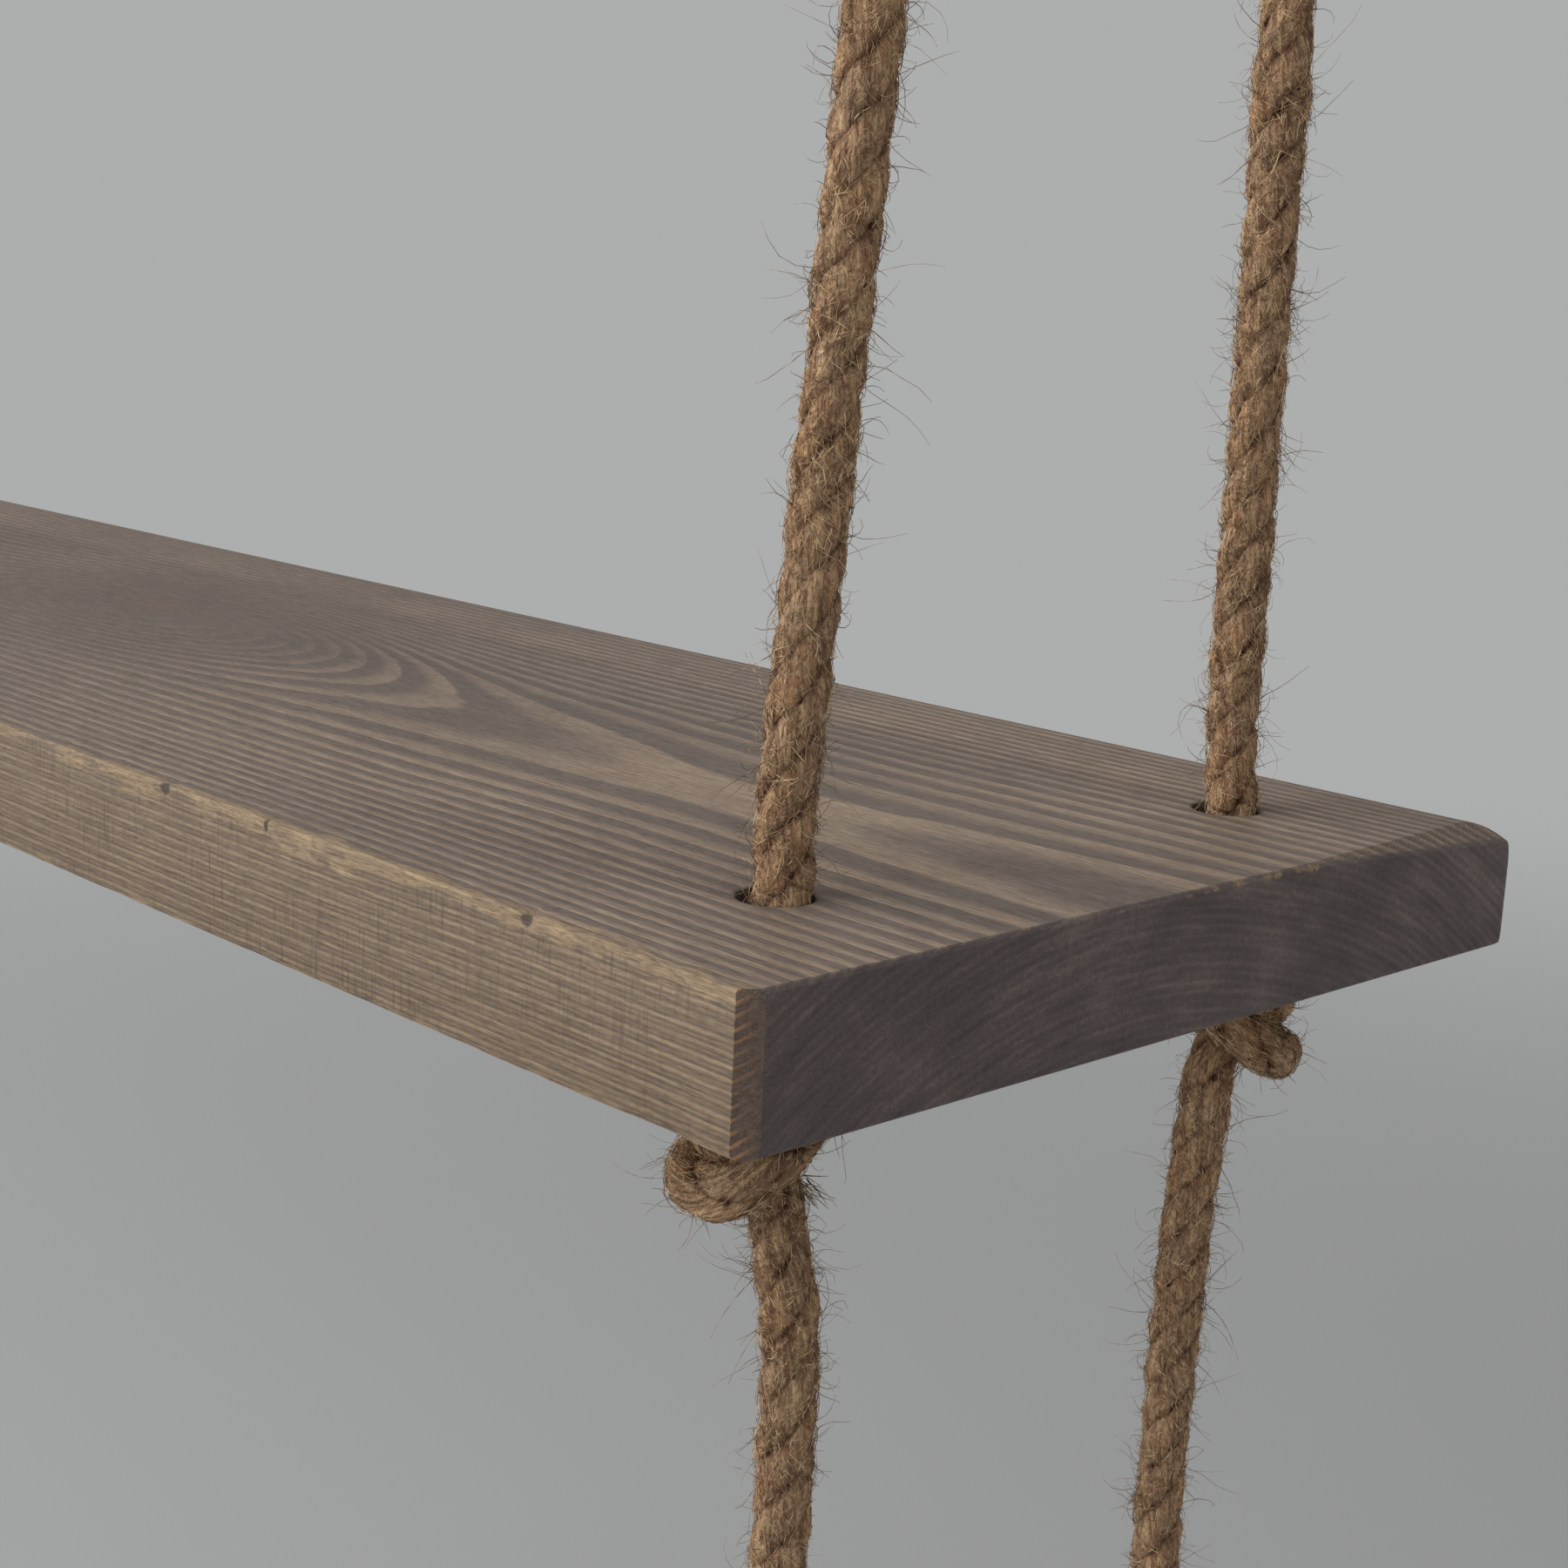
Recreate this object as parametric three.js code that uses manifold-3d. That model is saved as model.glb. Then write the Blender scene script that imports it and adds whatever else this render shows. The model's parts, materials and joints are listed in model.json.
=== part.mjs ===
// Hanging rope shelf: one stained softwood board, borne near its corners by four jute ropes.
// Each rope drops from a screw hook in the ceiling, passes down through a hole in the board,
// is stopped under it by an overhand knot, and hangs on to a second knot at its end.
// X runs along the board, Y from its front edge to the wall, Z up. The origin is on the
// ceiling plane, midway between the four hooks. Lengths are in millimetres.

import * as THREE from "three";
import { mergeVertices } from "three/addons/utils/BufferGeometryUtils.js";
import Module from "manifold-3d";

const wasm = await Module();
wasm.setup();

// Board
const boardLength = 600;
const boardWidth = 159;
const boardThickness = 20;
const frontTopEase = 1.6;
const frontBottomEase = 0.8;
const backTopRoundWidth = 11.5;
const backTopRoundHeight = 8;
const backBottomRound = 2;
const frontCornerAlong = 2;
const frontCornerAcross = 2.7;
const backCornerAlong = 0.6;
const backCornerAcross = 1.6;
const endEase = 0.6;
const endWearReach = 66;
const endWearDepth = 3.6;

// Rope holes
const holeInsetEnd = 29;
const holeInsetFront = 31;
const holeInsetBack = 34.5;
const holeRimEase = 0.6;
const ropeInHoleClearance = 1;

// Rope
const ropeDiameter = 8;
const fitGap = 0.3;
const mouthBendDepth = 2.5;
const bendBallDiameter = 7.6;

// Rise of the rope from the board's top to the lower end of its eye splice
const spanRise = 128;

// Eye splice
const eyeDrop = 18;
const eyeLegSpread = 8.6;
const spliceLength = 36;
const spliceDiameter = 12.6;

// Ceiling hook
const hookDrop = 30;
const hookSpacing = 75;
const hookWireDiameter = 4;
const hookBendRadius = 11;
const collarDiameter = 13;
const collarThickness = 2;
const threadDiameter = 4.6;
const threadLength = 24;
const threadTipLength = 6;

// The board hangs this far in front of the middle of its hooks, with its back to the wall.
const boardOffset = 5.35;

// Knots: the rope is squeezed where it is tied.
const knotUnit = 7.2;
const knotRopeDiameter = 6.8;
const endStubLength = 14;

// Shared overrun of the cutting bodies
const cutOverrun = 5;

// Heights
const wireZ = -hookDrop;
const throatZ = wireZ - eyeDrop - spliceLength;
const boardTopZ = throatZ - spanRise;
const boardBottomZ = boardTopZ - boardThickness;
const mouthZ = boardTopZ - mouthBendDepth;

// Plan places
const boardY = -boardOffset;
const ropeX = boardLength / 2 - holeInsetEnd;
const frontHoleY = -boardWidth / 2 + holeInsetFront;
const backHoleY = boardWidth / 2 - holeInsetBack;
const holeRadius = ropeDiameter / 2 + ropeInHoleClearance;

// Knot route, in shares of the knot unit: the lower half of an overhand knot from the middle of
// its crossing band to the rope that leaves it. The upper half is the same turned half round
// the X axis.
const knotHalfShares = [
  [0.9, 0, 0],
  [0.9, 0.35, 0.25],
  [0.8, 0.7, 0.5],
  [0.55, 1.0, 0.75],
  [0.0, 1.2, 0.95],
  [-0.7, 1.1, 0.95],
  [-1.1, 0.5, 0.85],
  [-1.05, -0.2, 0.5],
  [-0.7, -0.5, 0.15],
  [-0.4, -0.5, -0.15],
  [-0.2, -0.35, -0.4],
  [-0.05, -0.05, -0.8],
  [0, 0.12, -1.1],
  [0, 0.2, -1.35],
  [0, 0.2, -1.5],
];

// The four ropes: side is 1 at the right end, row is 1 at the back. The heading turns the knot
// under the board about the rope. The leans move the knot's body and its lower end along the
// tail heading. The tail's route points are its distance from the hole's axis, along the tail
// heading, and its drop below the board's underside, in millimetres. The first one hangs plumb
// under the knot.
const bowedTail = [
  [2.0, 24.5], [2.8, 28.5], [4.0, 34], [4.5, 40], [4.8, 46], [4.6, 54], [4.6, 65], [4.4, 75],
  [4.2, 88], [4.1, 98], [4.1, 105], [4.1, 112],
];
const straightTail = [
  [0.3, 24.5], [0.1, 29], [-0.5, 37], [-1.0, 45], [-1.2, 56], [-1.6, 68], [-1.6, 80],
  [-1.9, 91], [-1.6, 101], [-1.4, 107], [-1.4, 113],
];
const slackTail = [
  [-2.1, 24.5], [-2.6, 29], [-3.2, 36], [-3.3, 48], [-2.6, 62], [-1.9, 76], [-1.6, 90],
  [-1.5, 101], [-1.5, 110],
];
const tailHeading = THREE.MathUtils.degToRad(46);
const tailAcross = new THREE.Vector3(Math.cos(tailHeading), Math.sin(tailHeading), 0);
const corners = [
  {
    name: "front_right", side: 1, row: -1,
    heading: 0, leans: [-2.3, 0], endHeading: 30, tail: bowedTail,
  },
  {
    name: "back_right", side: 1, row: 1,
    heading: 180, leans: [3, 2.4], endHeading: 290, tail: straightTail,
  },
  {
    name: "front_left", side: -1, row: -1,
    heading: 200, leans: [0, 0], endHeading: 110, tail: slackTail,
  },
  {
    name: "back_left", side: -1, row: 1,
    heading: 20, leans: [-1, 0], endHeading: 160, tail: bowedTail,
  },
];

// Materials
function finish(color, roughness, metalness) {
  return new THREE.MeshStandardMaterial({ color, roughness, metalness });
}
const stainedPine = () => finish(0x6f6156, 0.72, 0);
const jute = () => finish(0xa5804f, 0.95, 0);
const zincPlate = () => finish(0xb4b2ab, 0.35, 1);

// A named mesh
function piece(name, geometry, material) {
  const mesh = new THREE.Mesh(geometry, material);
  mesh.name = name;
  return mesh;
}

// Solids for joining and cutting, and back again
function solidOf(geometry) {
  const bare = geometry.clone();
  bare.deleteAttribute("normal");
  bare.deleteAttribute("uv");
  const merged = mergeVertices(bare);
  return new wasm.Manifold(
    new wasm.Mesh({
      numProp: 3,
      vertProperties: merged.attributes.position.array,
      triVerts: new Uint32Array(merged.index.array),
    }),
  );
}

function geometryOf(solid) {
  const mesh = solid.getMesh();
  const geometry = new THREE.BufferGeometry();
  geometry.setAttribute("position", new THREE.BufferAttribute(mesh.vertProperties, 3));
  geometry.setIndex(new THREE.BufferAttribute(mesh.triVerts, 1));
  geometry.computeVertexNormals();
  return geometry;
}

// A round section, drawn as a polygon
function roundSection(diameter, sides) {
  const corner = (i) => {
    const angle = (2 * Math.PI * i) / sides;
    return new THREE.Vector2(Math.cos(angle), Math.sin(angle)).multiplyScalar(diameter / 2);
  };
  return new THREE.Shape(Array.from({ length: sides }, (_, i) => corner(i)));
}

// A tube along a smooth curve through the points
function tube(points, diameter, steps, sides = 8) {
  const path = new THREE.CatmullRomCurve3(points, false, "centripetal");
  return new THREE.ExtrudeGeometry(roundSection(diameter, sides), { steps, extrudePath: path });
}

// A body turned about the Z axis, from a profile of [radius, height]
function turned(profile, segments) {
  const points = profile.map(([r, z]) => new THREE.Vector2(r, z));
  return new THREE.LatheGeometry(points, segments).rotateX(Math.PI / 2);
}

// Points of a rounded corner from angle a to b, in degrees, about a centre
function arc(cx, cy, radius, a, b, steps) {
  return Array.from({ length: steps + 1 }, (_, i) => {
    const angle = THREE.MathUtils.degToRad(a + ((b - a) * i) / steps);
    return new THREE.Vector2(cx + radius * Math.cos(angle), cy + radius * Math.sin(angle));
  });
}

// Board: the cross-section, the plan and the side outline are extruded and cut with each other.
function extrudedAlong(outline, length, right, up, out) {
  const shape = new THREE.Shape(outline);
  const body = new THREE.ExtrudeGeometry(shape, { depth: length, bevelEnabled: false });
  body.translate(0, 0, -length / 2);
  return solidOf(body.applyMatrix4(new THREE.Matrix4().makeBasis(right, up, out)));
}

function boardCrossSection() {
  const front = -boardWidth / 2;
  const back = boardWidth / 2;
  const top = boardThickness / 2;
  const bottom = -boardThickness / 2;
  return [
    new THREE.Vector2(front, bottom + frontBottomEase),
    new THREE.Vector2(front + frontBottomEase, bottom),
    ...arc(back - backBottomRound, bottom + backBottomRound, backBottomRound, -90, 0, 4),
    ...arc(0, 0, backTopRoundWidth, 0, 90, 7).map(
      (p) =>
        new THREE.Vector2(
          back - backTopRoundWidth + p.x,
          top - backTopRoundHeight + (p.y * backTopRoundHeight) / backTopRoundWidth,
        ),
    ),
    new THREE.Vector2(front + frontTopEase, top),
    new THREE.Vector2(front, top - frontTopEase),
  ];
}

function boardPlan() {
  const end = boardLength / 2;
  const side = boardWidth / 2;
  return [
    new THREE.Vector2(-end + frontCornerAlong, -side),
    new THREE.Vector2(end - frontCornerAlong, -side),
    new THREE.Vector2(end, -side + frontCornerAcross),
    new THREE.Vector2(end, side - backCornerAcross),
    new THREE.Vector2(end - backCornerAlong, side),
    new THREE.Vector2(-end + backCornerAlong, side),
    new THREE.Vector2(-end, side - backCornerAcross),
    new THREE.Vector2(-end, -side + frontCornerAcross),
  ];
}

function boardSideOutline() {
  const end = boardLength / 2;
  const half = boardThickness / 2;
  return [
    new THREE.Vector2(-end, -half + endEase),
    new THREE.Vector2(-end + endEase, -half),
    new THREE.Vector2(end - endEase, -half),
    new THREE.Vector2(end, -half + endEase),
    new THREE.Vector2(end, half - endEase),
    new THREE.Vector2(end - endEase, half),
    new THREE.Vector2(-end + endEase, half),
    new THREE.Vector2(-end, half - endEase),
  ];
}

// The upper edge of each end is sanded off more and more towards the back corner: a body that
// lies on the plane through three points, from the edge where the wear starts to the depth
// that it has at the back.
function endWear(side) {
  const end = (side * boardLength) / 2;
  const back = boardWidth / 2;
  const top = boardThickness / 2;
  const start = new THREE.Vector3(end, back - endWearReach, top);
  const down = new THREE.Vector3(end, back, top - endWearDepth);
  const inward = new THREE.Vector3(end - side * endWearDepth, back, top);
  const along = down.clone().sub(start).normalize();
  const normal = along.clone().cross(inward.clone().sub(start)).normalize();
  if (normal.z < 0) normal.negate();
  const across = normal.clone().cross(along);
  const size = 2 * endWearReach;
  const cutter = new THREE.BoxGeometry(size * 2, size, boardThickness);
  cutter.translate(0, 0, boardThickness / 2);
  cutter.applyMatrix4(new THREE.Matrix4().makeBasis(along, across, normal).setPosition(start));
  return solidOf(cutter);
}

// Place of a row of holes across the board
function holeYOf(row) {
  return row > 0 ? backHoleY : frontHoleY;
}

// A drilled hole with its rims broken
function ropeHole() {
  const half = boardThickness / 2;
  const rim = holeRadius + holeRimEase;
  return turned(
    [
      [0, -half - cutOverrun],
      [rim + cutOverrun, -half - cutOverrun],
      [holeRadius, -half + holeRimEase],
      [holeRadius, half - holeRimEase],
      [rim + cutOverrun, half + cutOverrun],
      [0, half + cutOverrun],
    ],
    24,
  );
}

function shelfBoard() {
  const x = new THREE.Vector3(1, 0, 0);
  const y = new THREE.Vector3(0, 1, 0);
  const z = new THREE.Vector3(0, 0, 1);
  const beyond = 2 * cutOverrun;
  let board = extrudedAlong(boardCrossSection(), boardLength + beyond, y, z, x)
    .intersect(extrudedAlong(boardPlan(), boardThickness + beyond, x, y, z))
    .intersect(extrudedAlong(boardSideOutline(), boardWidth + beyond, x, z, y.clone().negate()));
  for (const side of [-1, 1]) board = board.subtract(endWear(side));
  for (const { side, row } of corners) {
    const hole = ropeHole().translate(side * ropeX, holeYOf(row), 0);
    board = board.subtract(solidOf(hole));
  }
  const mesh = piece("shelf_board", geometryOf(board), stainedPine());
  mesh.position.set(0, boardY, boardTopZ - boardThickness / 2);
  return mesh;
}

// Ceiling hook: a wood screw and a collar above, and below them one bent wire, whose lowest
// point runs along the board.
function ceilingHook(name) {
  const centreZ = wireZ + hookBendRadius;
  const wirePoint = ([acrossShare, upShare]) =>
    new THREE.Vector3(acrossShare * hookBendRadius, 0, centreZ + upShare * hookBendRadius);
  const neckShares = [
    [0.1, 1.4],
    [0.42, 1.05],
    [0.82, 0.6],
  ];
  const bendShares = Array.from({ length: 8 }, (_, i) => {
    const angle = THREE.MathUtils.degToRad(0 - i * 26);
    return [Math.cos(angle), Math.sin(angle)];
  });
  const tipShares = [[-1.06, 0.34]];
  const wire = tube(
    [
      new THREE.Vector3(0, 0, -collarThickness / 2),
      ...[...neckShares, ...bendShares, ...tipShares].map(wirePoint),
    ],
    hookWireDiameter,
    30,
  );
  const screw = turned(
    [
      [0, -collarThickness],
      [collarDiameter / 2 - collarThickness / 4, -collarThickness],
      [collarDiameter / 2, -collarThickness / 2],
      [collarDiameter / 2, 0],
      [threadDiameter / 2, 0],
      [threadDiameter / 2, threadLength - threadTipLength],
      [0, threadLength],
    ],
    16,
  );
  const hook = solidOf(wire).add(solidOf(screw));
  return piece("ceiling_hook_" + name, geometryOf(hook), zincPlate());
}

// Eye splice: the rope's end is turned over the hook's wire and tucked back into its own
// strands. The wire's centre is the local origin, and the rope runs down from it.
function ropeEye(name, reach) {
  const crownRadius = hookWireDiameter / 2 + fitGap + ropeDiameter / 2;
  const tipRadius = bendBallDiameter / 2;
  const legs = (side) => [
    new THREE.Vector3(0, (side * eyeLegSpread) / 4, -eyeDrop - eyeLegSpread),
    new THREE.Vector3(0, (side * eyeLegSpread) / 2, -eyeDrop),
    new THREE.Vector3(0, side * crownRadius, -crownRadius / 2),
  ];
  const crown = arc(0, 0, crownRadius, 0, 180, 6).map((p) => new THREE.Vector3(0, p.x, p.y));
  const loop = tube([...legs(1), ...crown, ...legs(-1).reverse()], ropeDiameter, 26);
  const shoulder = spliceDiameter / 4;
  const tip = arc(0, -reach, tipRadius, -90, 0, 3).map((p) => [p.x, p.y]);
  const splice = turned(
    [
      ...tip,
      [ropeDiameter / 2, -reach + ropeDiameter / 2],
      [spliceDiameter / 2, -eyeDrop - shoulder],
      [spliceDiameter / 2 - shoulder / 2, -eyeDrop],
      [0, -eyeDrop + shoulder / 2],
    ],
    12,
  );
  const eye = solidOf(loop).add(solidOf(splice));
  return piece("rope_eye_" + name, geometryOf(eye), jute());
}

// Overhand knot: the whole route is the lower half and its image turned half round X. The local
// origin is where the rope enters, on the line of the rope above. The body's lean comes in below
// the entry, over one knot unit, and gives way to the exit's lean over the last one.
function overhandKnot(name, heading, [bodyLean, exitLean], stubLength) {
  const lower = knotHalfShares.map((shares) => new THREE.Vector3(...shares));
  const upper = lower
    .slice(1)
    .map((p) => new THREE.Vector3(p.x, -p.y, -p.z))
    .reverse();
  const entry = upper[0].clone();
  const turn = THREE.MathUtils.degToRad(heading);
  const route = [...upper, ...lower].map((shares) => {
    const point = shares.clone().sub(entry).multiplyScalar(knotUnit);
    point.applyAxisAngle(new THREE.Vector3(0, 0, 1), turn);
    const enterShare = THREE.MathUtils.smoothstep(-point.z / knotUnit, 0.15, 1.15);
    const exitShare = THREE.MathUtils.smoothstep(-point.z / knotUnit, 1.9, 2.9);
    const lean = bodyLean * enterShare + (exitLean - bodyLean) * exitShare;
    return point.addScaledVector(tailAcross, lean);
  });
  const exit = route.at(-1).clone();
  if (stubLength) route.push(exit.clone().setZ(exit.z - stubLength));
  return { mesh: piece(name, tube(route, knotRopeDiameter, 46), jute()), exit };
}

// A rope's straight stretch between two points
function straightRope(name, from, to, steps) {
  return piece(name, tube([from, to], ropeDiameter, steps), jute());
}

// One rope with its hook, from the ceiling down
function ropeSet({ name, side, row, heading, leans, endHeading, tail }) {
  const set = new THREE.Group();
  const hookPoint = new THREE.Vector3(side * ropeX, (row * hookSpacing) / 2, wireZ);
  const mouth = new THREE.Vector3(side * ropeX, boardY + holeYOf(row), mouthZ);
  const line = mouth.clone().sub(hookPoint);
  const throatShare = (wireZ - throatZ) / (wireZ - mouthZ);
  const throat = hookPoint.clone().addScaledVector(line, throatShare);
  const ballGap = bendBallDiameter / 2 + fitGap;
  const along = line.clone().setLength(ballGap);

  const hook = ceilingHook(name);
  hook.position.set(hookPoint.x, hookPoint.y, 0);

  const eye = ropeEye(name, throat.distanceTo(hookPoint));
  eye.position.copy(hookPoint);
  eye.rotation.x = Math.atan2(line.y, -line.z);

  const spanTop = throat.clone().add(along);
  const spanFoot = mouth.clone().sub(along);
  const span = straightRope("rope_span_" + name, spanTop, spanFoot, 6);

  const ball = new THREE.SphereGeometry(bendBallDiameter / 2, 10, 8);
  const bend = piece("rope_bend_" + name, ball, jute());
  bend.position.copy(mouth);

  const coreTop = mouth.clone().setZ(mouthZ - ballGap);
  const coreFoot = mouth.clone().setZ(boardBottomZ);
  const core = straightRope("rope_in_hole_" + name, coreTop, coreFoot, 1);

  const underBoard = overhandKnot("board_knot_" + name, heading, leans, 0);
  underBoard.mesh.position.set(mouth.x, mouth.y, boardBottomZ - fitGap);
  const tailStart = underBoard.mesh.position.clone().add(underBoard.exit);
  tailStart.z -= fitGap;

  const exitAcross = underBoard.exit.dot(tailAcross);
  const onTail = ([offAxis, drop], i) => {
    const offExit = i === 0 ? 0 : offAxis - exitAcross;
    return tailStart.clone().setZ(boardBottomZ - drop).addScaledVector(tailAcross, offExit);
  };
  const tailRoute = [tailStart, ...tail.map(onTail)];
  const tailMesh = piece("rope_tail_" + name, tube(tailRoute, ropeDiameter, 9), jute());

  const atEnd = overhandKnot("end_knot_" + name, endHeading, [0, 0], endStubLength);
  atEnd.mesh.position.copy(tailRoute.at(-1));
  atEnd.mesh.position.z -= fitGap;

  set.add(hook, eye, span, bend, core, underBoard.mesh, tailMesh, atEnd.mesh);
  return set;
}

const shelf = new THREE.Group();
shelf.add(shelfBoard());
for (const corner of corners) shelf.add(ropeSet(corner));

export default shelf;
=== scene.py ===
import json
import math

import bpy
import numpy as np
from mathutils import Matrix, Vector, noise


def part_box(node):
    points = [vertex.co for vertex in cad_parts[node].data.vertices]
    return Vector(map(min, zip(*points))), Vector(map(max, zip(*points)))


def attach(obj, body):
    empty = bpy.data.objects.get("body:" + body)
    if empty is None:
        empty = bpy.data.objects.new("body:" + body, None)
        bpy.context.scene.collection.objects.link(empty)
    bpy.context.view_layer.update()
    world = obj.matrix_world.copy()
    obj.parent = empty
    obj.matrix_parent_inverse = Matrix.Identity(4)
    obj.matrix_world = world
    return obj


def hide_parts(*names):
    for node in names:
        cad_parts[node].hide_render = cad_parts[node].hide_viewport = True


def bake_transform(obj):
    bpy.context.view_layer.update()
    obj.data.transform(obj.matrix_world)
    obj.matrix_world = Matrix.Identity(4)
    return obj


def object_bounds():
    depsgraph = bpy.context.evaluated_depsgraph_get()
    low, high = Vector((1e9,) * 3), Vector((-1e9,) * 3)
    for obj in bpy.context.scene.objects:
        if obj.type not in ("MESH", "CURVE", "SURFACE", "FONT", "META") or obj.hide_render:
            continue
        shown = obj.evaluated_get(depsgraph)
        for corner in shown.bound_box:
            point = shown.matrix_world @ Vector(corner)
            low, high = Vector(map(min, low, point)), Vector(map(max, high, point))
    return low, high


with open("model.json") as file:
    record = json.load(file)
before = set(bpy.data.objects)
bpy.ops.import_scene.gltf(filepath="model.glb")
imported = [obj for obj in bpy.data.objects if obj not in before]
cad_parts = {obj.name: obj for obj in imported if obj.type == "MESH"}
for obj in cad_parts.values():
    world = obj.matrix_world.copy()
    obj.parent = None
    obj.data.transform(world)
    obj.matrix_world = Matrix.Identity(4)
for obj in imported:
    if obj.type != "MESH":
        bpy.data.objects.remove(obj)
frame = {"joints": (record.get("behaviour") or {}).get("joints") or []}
cad_low, cad_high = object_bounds()

# Board sizes, in metres
FRONT_TOP_EASE = 0.0005
FRONT_BOTTOM_EASE = 0.0008
BACK_TOP_ROUND_WIDTH = 0.0115
BACK_TOP_ROUND_HEIGHT = 0.0080
BACK_BOTTOM_ROUND = 0.0020
FRONT_CORNER_ALONG = 0.0020
FRONT_CORNER_ACROSS = 0.0027
BACK_CORNER_ALONG = 0.0006
BACK_CORNER_ACROSS = 0.0016
END_EASE = 0.0006
END_WEAR_REACH = 0.066
END_WEAR_DEPTH = 0.0036
HOLE_RADIUS = 0.0050
HOLE_RIM = 0.0006

# Rope sizes
ROPE_RADIUS = 0.0040
KNOT_ROPE_RADIUS = 0.0039
MOUTH_LEAN = 0.0009
LAY_LENGTH = 0.0235
STRAND_OFFSET_SHARE = 0.33
STRAND_DEEP_SHARE = 0.64
STRAND_WIDE_SHARE = 0.665
STRAND_SIDES = 16
RING_STEP = 0.0007
FIBRE_TURN = 2 * math.pi / LAY_LENGTH + 190
KNOT_UNIT = 0.0072
FIT_GAP = 0.0003
STUB_LENGTH = 0.014
BEND_REACH = 0.0038
BLEND_RINGS = 12
EYE_DROP = 0.0180
EYE_LEG_SPREAD = 0.0086
TUCK_LAY = 0.034
TUCK_RADIUS = 0.0019
TUCK_WEAVE = 0.0007
TUCKED_END = 0.012
TUCKED_END_THINNER = 0.0013
MOUTH_REACH = 0.009
FRAYED_REACH = 0.005

# Hook sizes
WIRE_RADIUS = 0.0020
HOOK_BEND_RADIUS = 0.0110
COLLAR_RADIUS = 0.0065
COLLAR_THICKNESS = 0.0020
THREAD_CORE_RADIUS = 0.00175
THREAD_LENGTH = 0.0240
THREAD_TIP = 0.0060
THREAD_PITCH = 0.0018
THREAD_START = 0.0012
THREAD_END_GAP = 0.0016
NECK_RADIUS = 0.0036

# Lower half of an overhand knot, in knot units, from its middle to the rope that leaves it. The
# upper half is the same, turned half round X.
KNOT_HALF = [
    (0.9, 0, 0), (0.9, 0.35, 0.25), (0.8, 0.7, 0.5), (0.55, 1.0, 0.75), (0.0, 1.2, 0.95),
    (-0.7, 1.1, 0.95), (-1.1, 0.5, 0.85), (-1.05, -0.2, 0.5), (-0.7, -0.5, 0.15),
    (-0.4, -0.5, -0.15), (-0.2, -0.35, -0.4), (-0.05, -0.05, -0.8), (0, 0.12, -1.1),
    (0, 0.2, -1.35), (0, 0.2, -1.5),
]

# A tail's route: its distance from the hole's axis, and its drop below the board
BOWED_TAIL = [
    (0.0020, 0.0245), (0.0028, 0.0285), (0.0040, 0.034), (0.0045, 0.040), (0.0048, 0.046),
    (0.0046, 0.054), (0.0046, 0.065), (0.0044, 0.075), (0.0042, 0.088), (0.0041, 0.098),
    (0.0041, 0.105), (0.0041, 0.112),
]
STRAIGHT_TAIL = [
    (0.0003, 0.0245), (0.0001, 0.029), (-0.0005, 0.037), (-0.0010, 0.045), (-0.0012, 0.056),
    (-0.0016, 0.068), (-0.0016, 0.080), (-0.0019, 0.091), (-0.0016, 0.101), (-0.0014, 0.107),
    (-0.0014, 0.113),
]
SLACK_TAIL = [
    (-0.0021, 0.0245), (-0.0026, 0.029), (-0.0032, 0.036), (-0.0033, 0.048), (-0.0026, 0.062),
    (-0.0019, 0.076), (-0.0016, 0.090), (-0.0015, 0.101), (-0.0015, 0.110),
]
TAIL_WAY = Vector((math.cos(math.radians(46)), math.sin(math.radians(46)), 0))
FRAYED_HEIGHT = -0.108
TUFT_PLACE = TAIL_WAY * 0.0050 + Vector((0, 0, -0.0182))
TUFT_WAY = (0.60, 0.50, -0.62)
TUFT_COUNT = 16
# The leans move a board knot's body and its lower end along the tail way.
CORNERS = {
    "front_right": {"heading": 0, "leans": (-0.0023, 0), "end_heading": 30, "tail": BOWED_TAIL},
    "back_right": {"heading": 180, "leans": (0.003, 0.0024), "end_heading": 290, "tail": STRAIGHT_TAIL},
    "front_left": {"heading": 200, "leans": (0, 0), "end_heading": 110, "tail": SLACK_TAIL},
    "back_left": {"heading": 20, "leans": (-0.001, 0), "end_heading": 160, "tail": BOWED_TAIL},
}


def middle_of(node):
    low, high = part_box(node)
    return (low + high) / 2


def joint_place(name):
    return Vector(next(j for j in frame["joints"] if j["name"] == name)["pos_m"])


board_low, board_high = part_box("shelf_board")
board_middle = (board_low + board_high) / 2
holes = {corner: middle_of("rope_in_hole_" + corner) for corner in CORNERS}

# Camera
CAMERA_PLACE = Vector((0.4868, -0.25985, -0.1339))
CAMERA_YAW = math.radians(46.24)
CAMERA_PITCH = math.radians(12.05)
CAMERA_ROLL = math.radians(2.61)
CAMERA_LENS = 56.24


def make_camera():
    data = bpy.data.cameras.new("camera")
    data.lens = CAMERA_LENS
    data.sensor_width = 36
    camera = bpy.data.objects.new("camera", data)
    bpy.context.scene.collection.objects.link(camera)
    flat = math.cos(CAMERA_PITCH)
    forward = Vector(
        (-math.sin(CAMERA_YAW) * flat, math.cos(CAMERA_YAW) * flat, -math.sin(CAMERA_PITCH))
    )
    level = forward.cross(Vector((0, 0, 1))).normalized()
    upright = level.cross(forward)
    right = level * math.cos(CAMERA_ROLL) + upright * math.sin(CAMERA_ROLL)
    up = upright * math.cos(CAMERA_ROLL) - level * math.sin(CAMERA_ROLL)
    turn = Matrix((right, up, -forward)).transposed()
    camera.matrix_world = Matrix.Translation(CAMERA_PLACE) @ turn.to_4x4()
    bpy.context.scene.camera = camera


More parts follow.
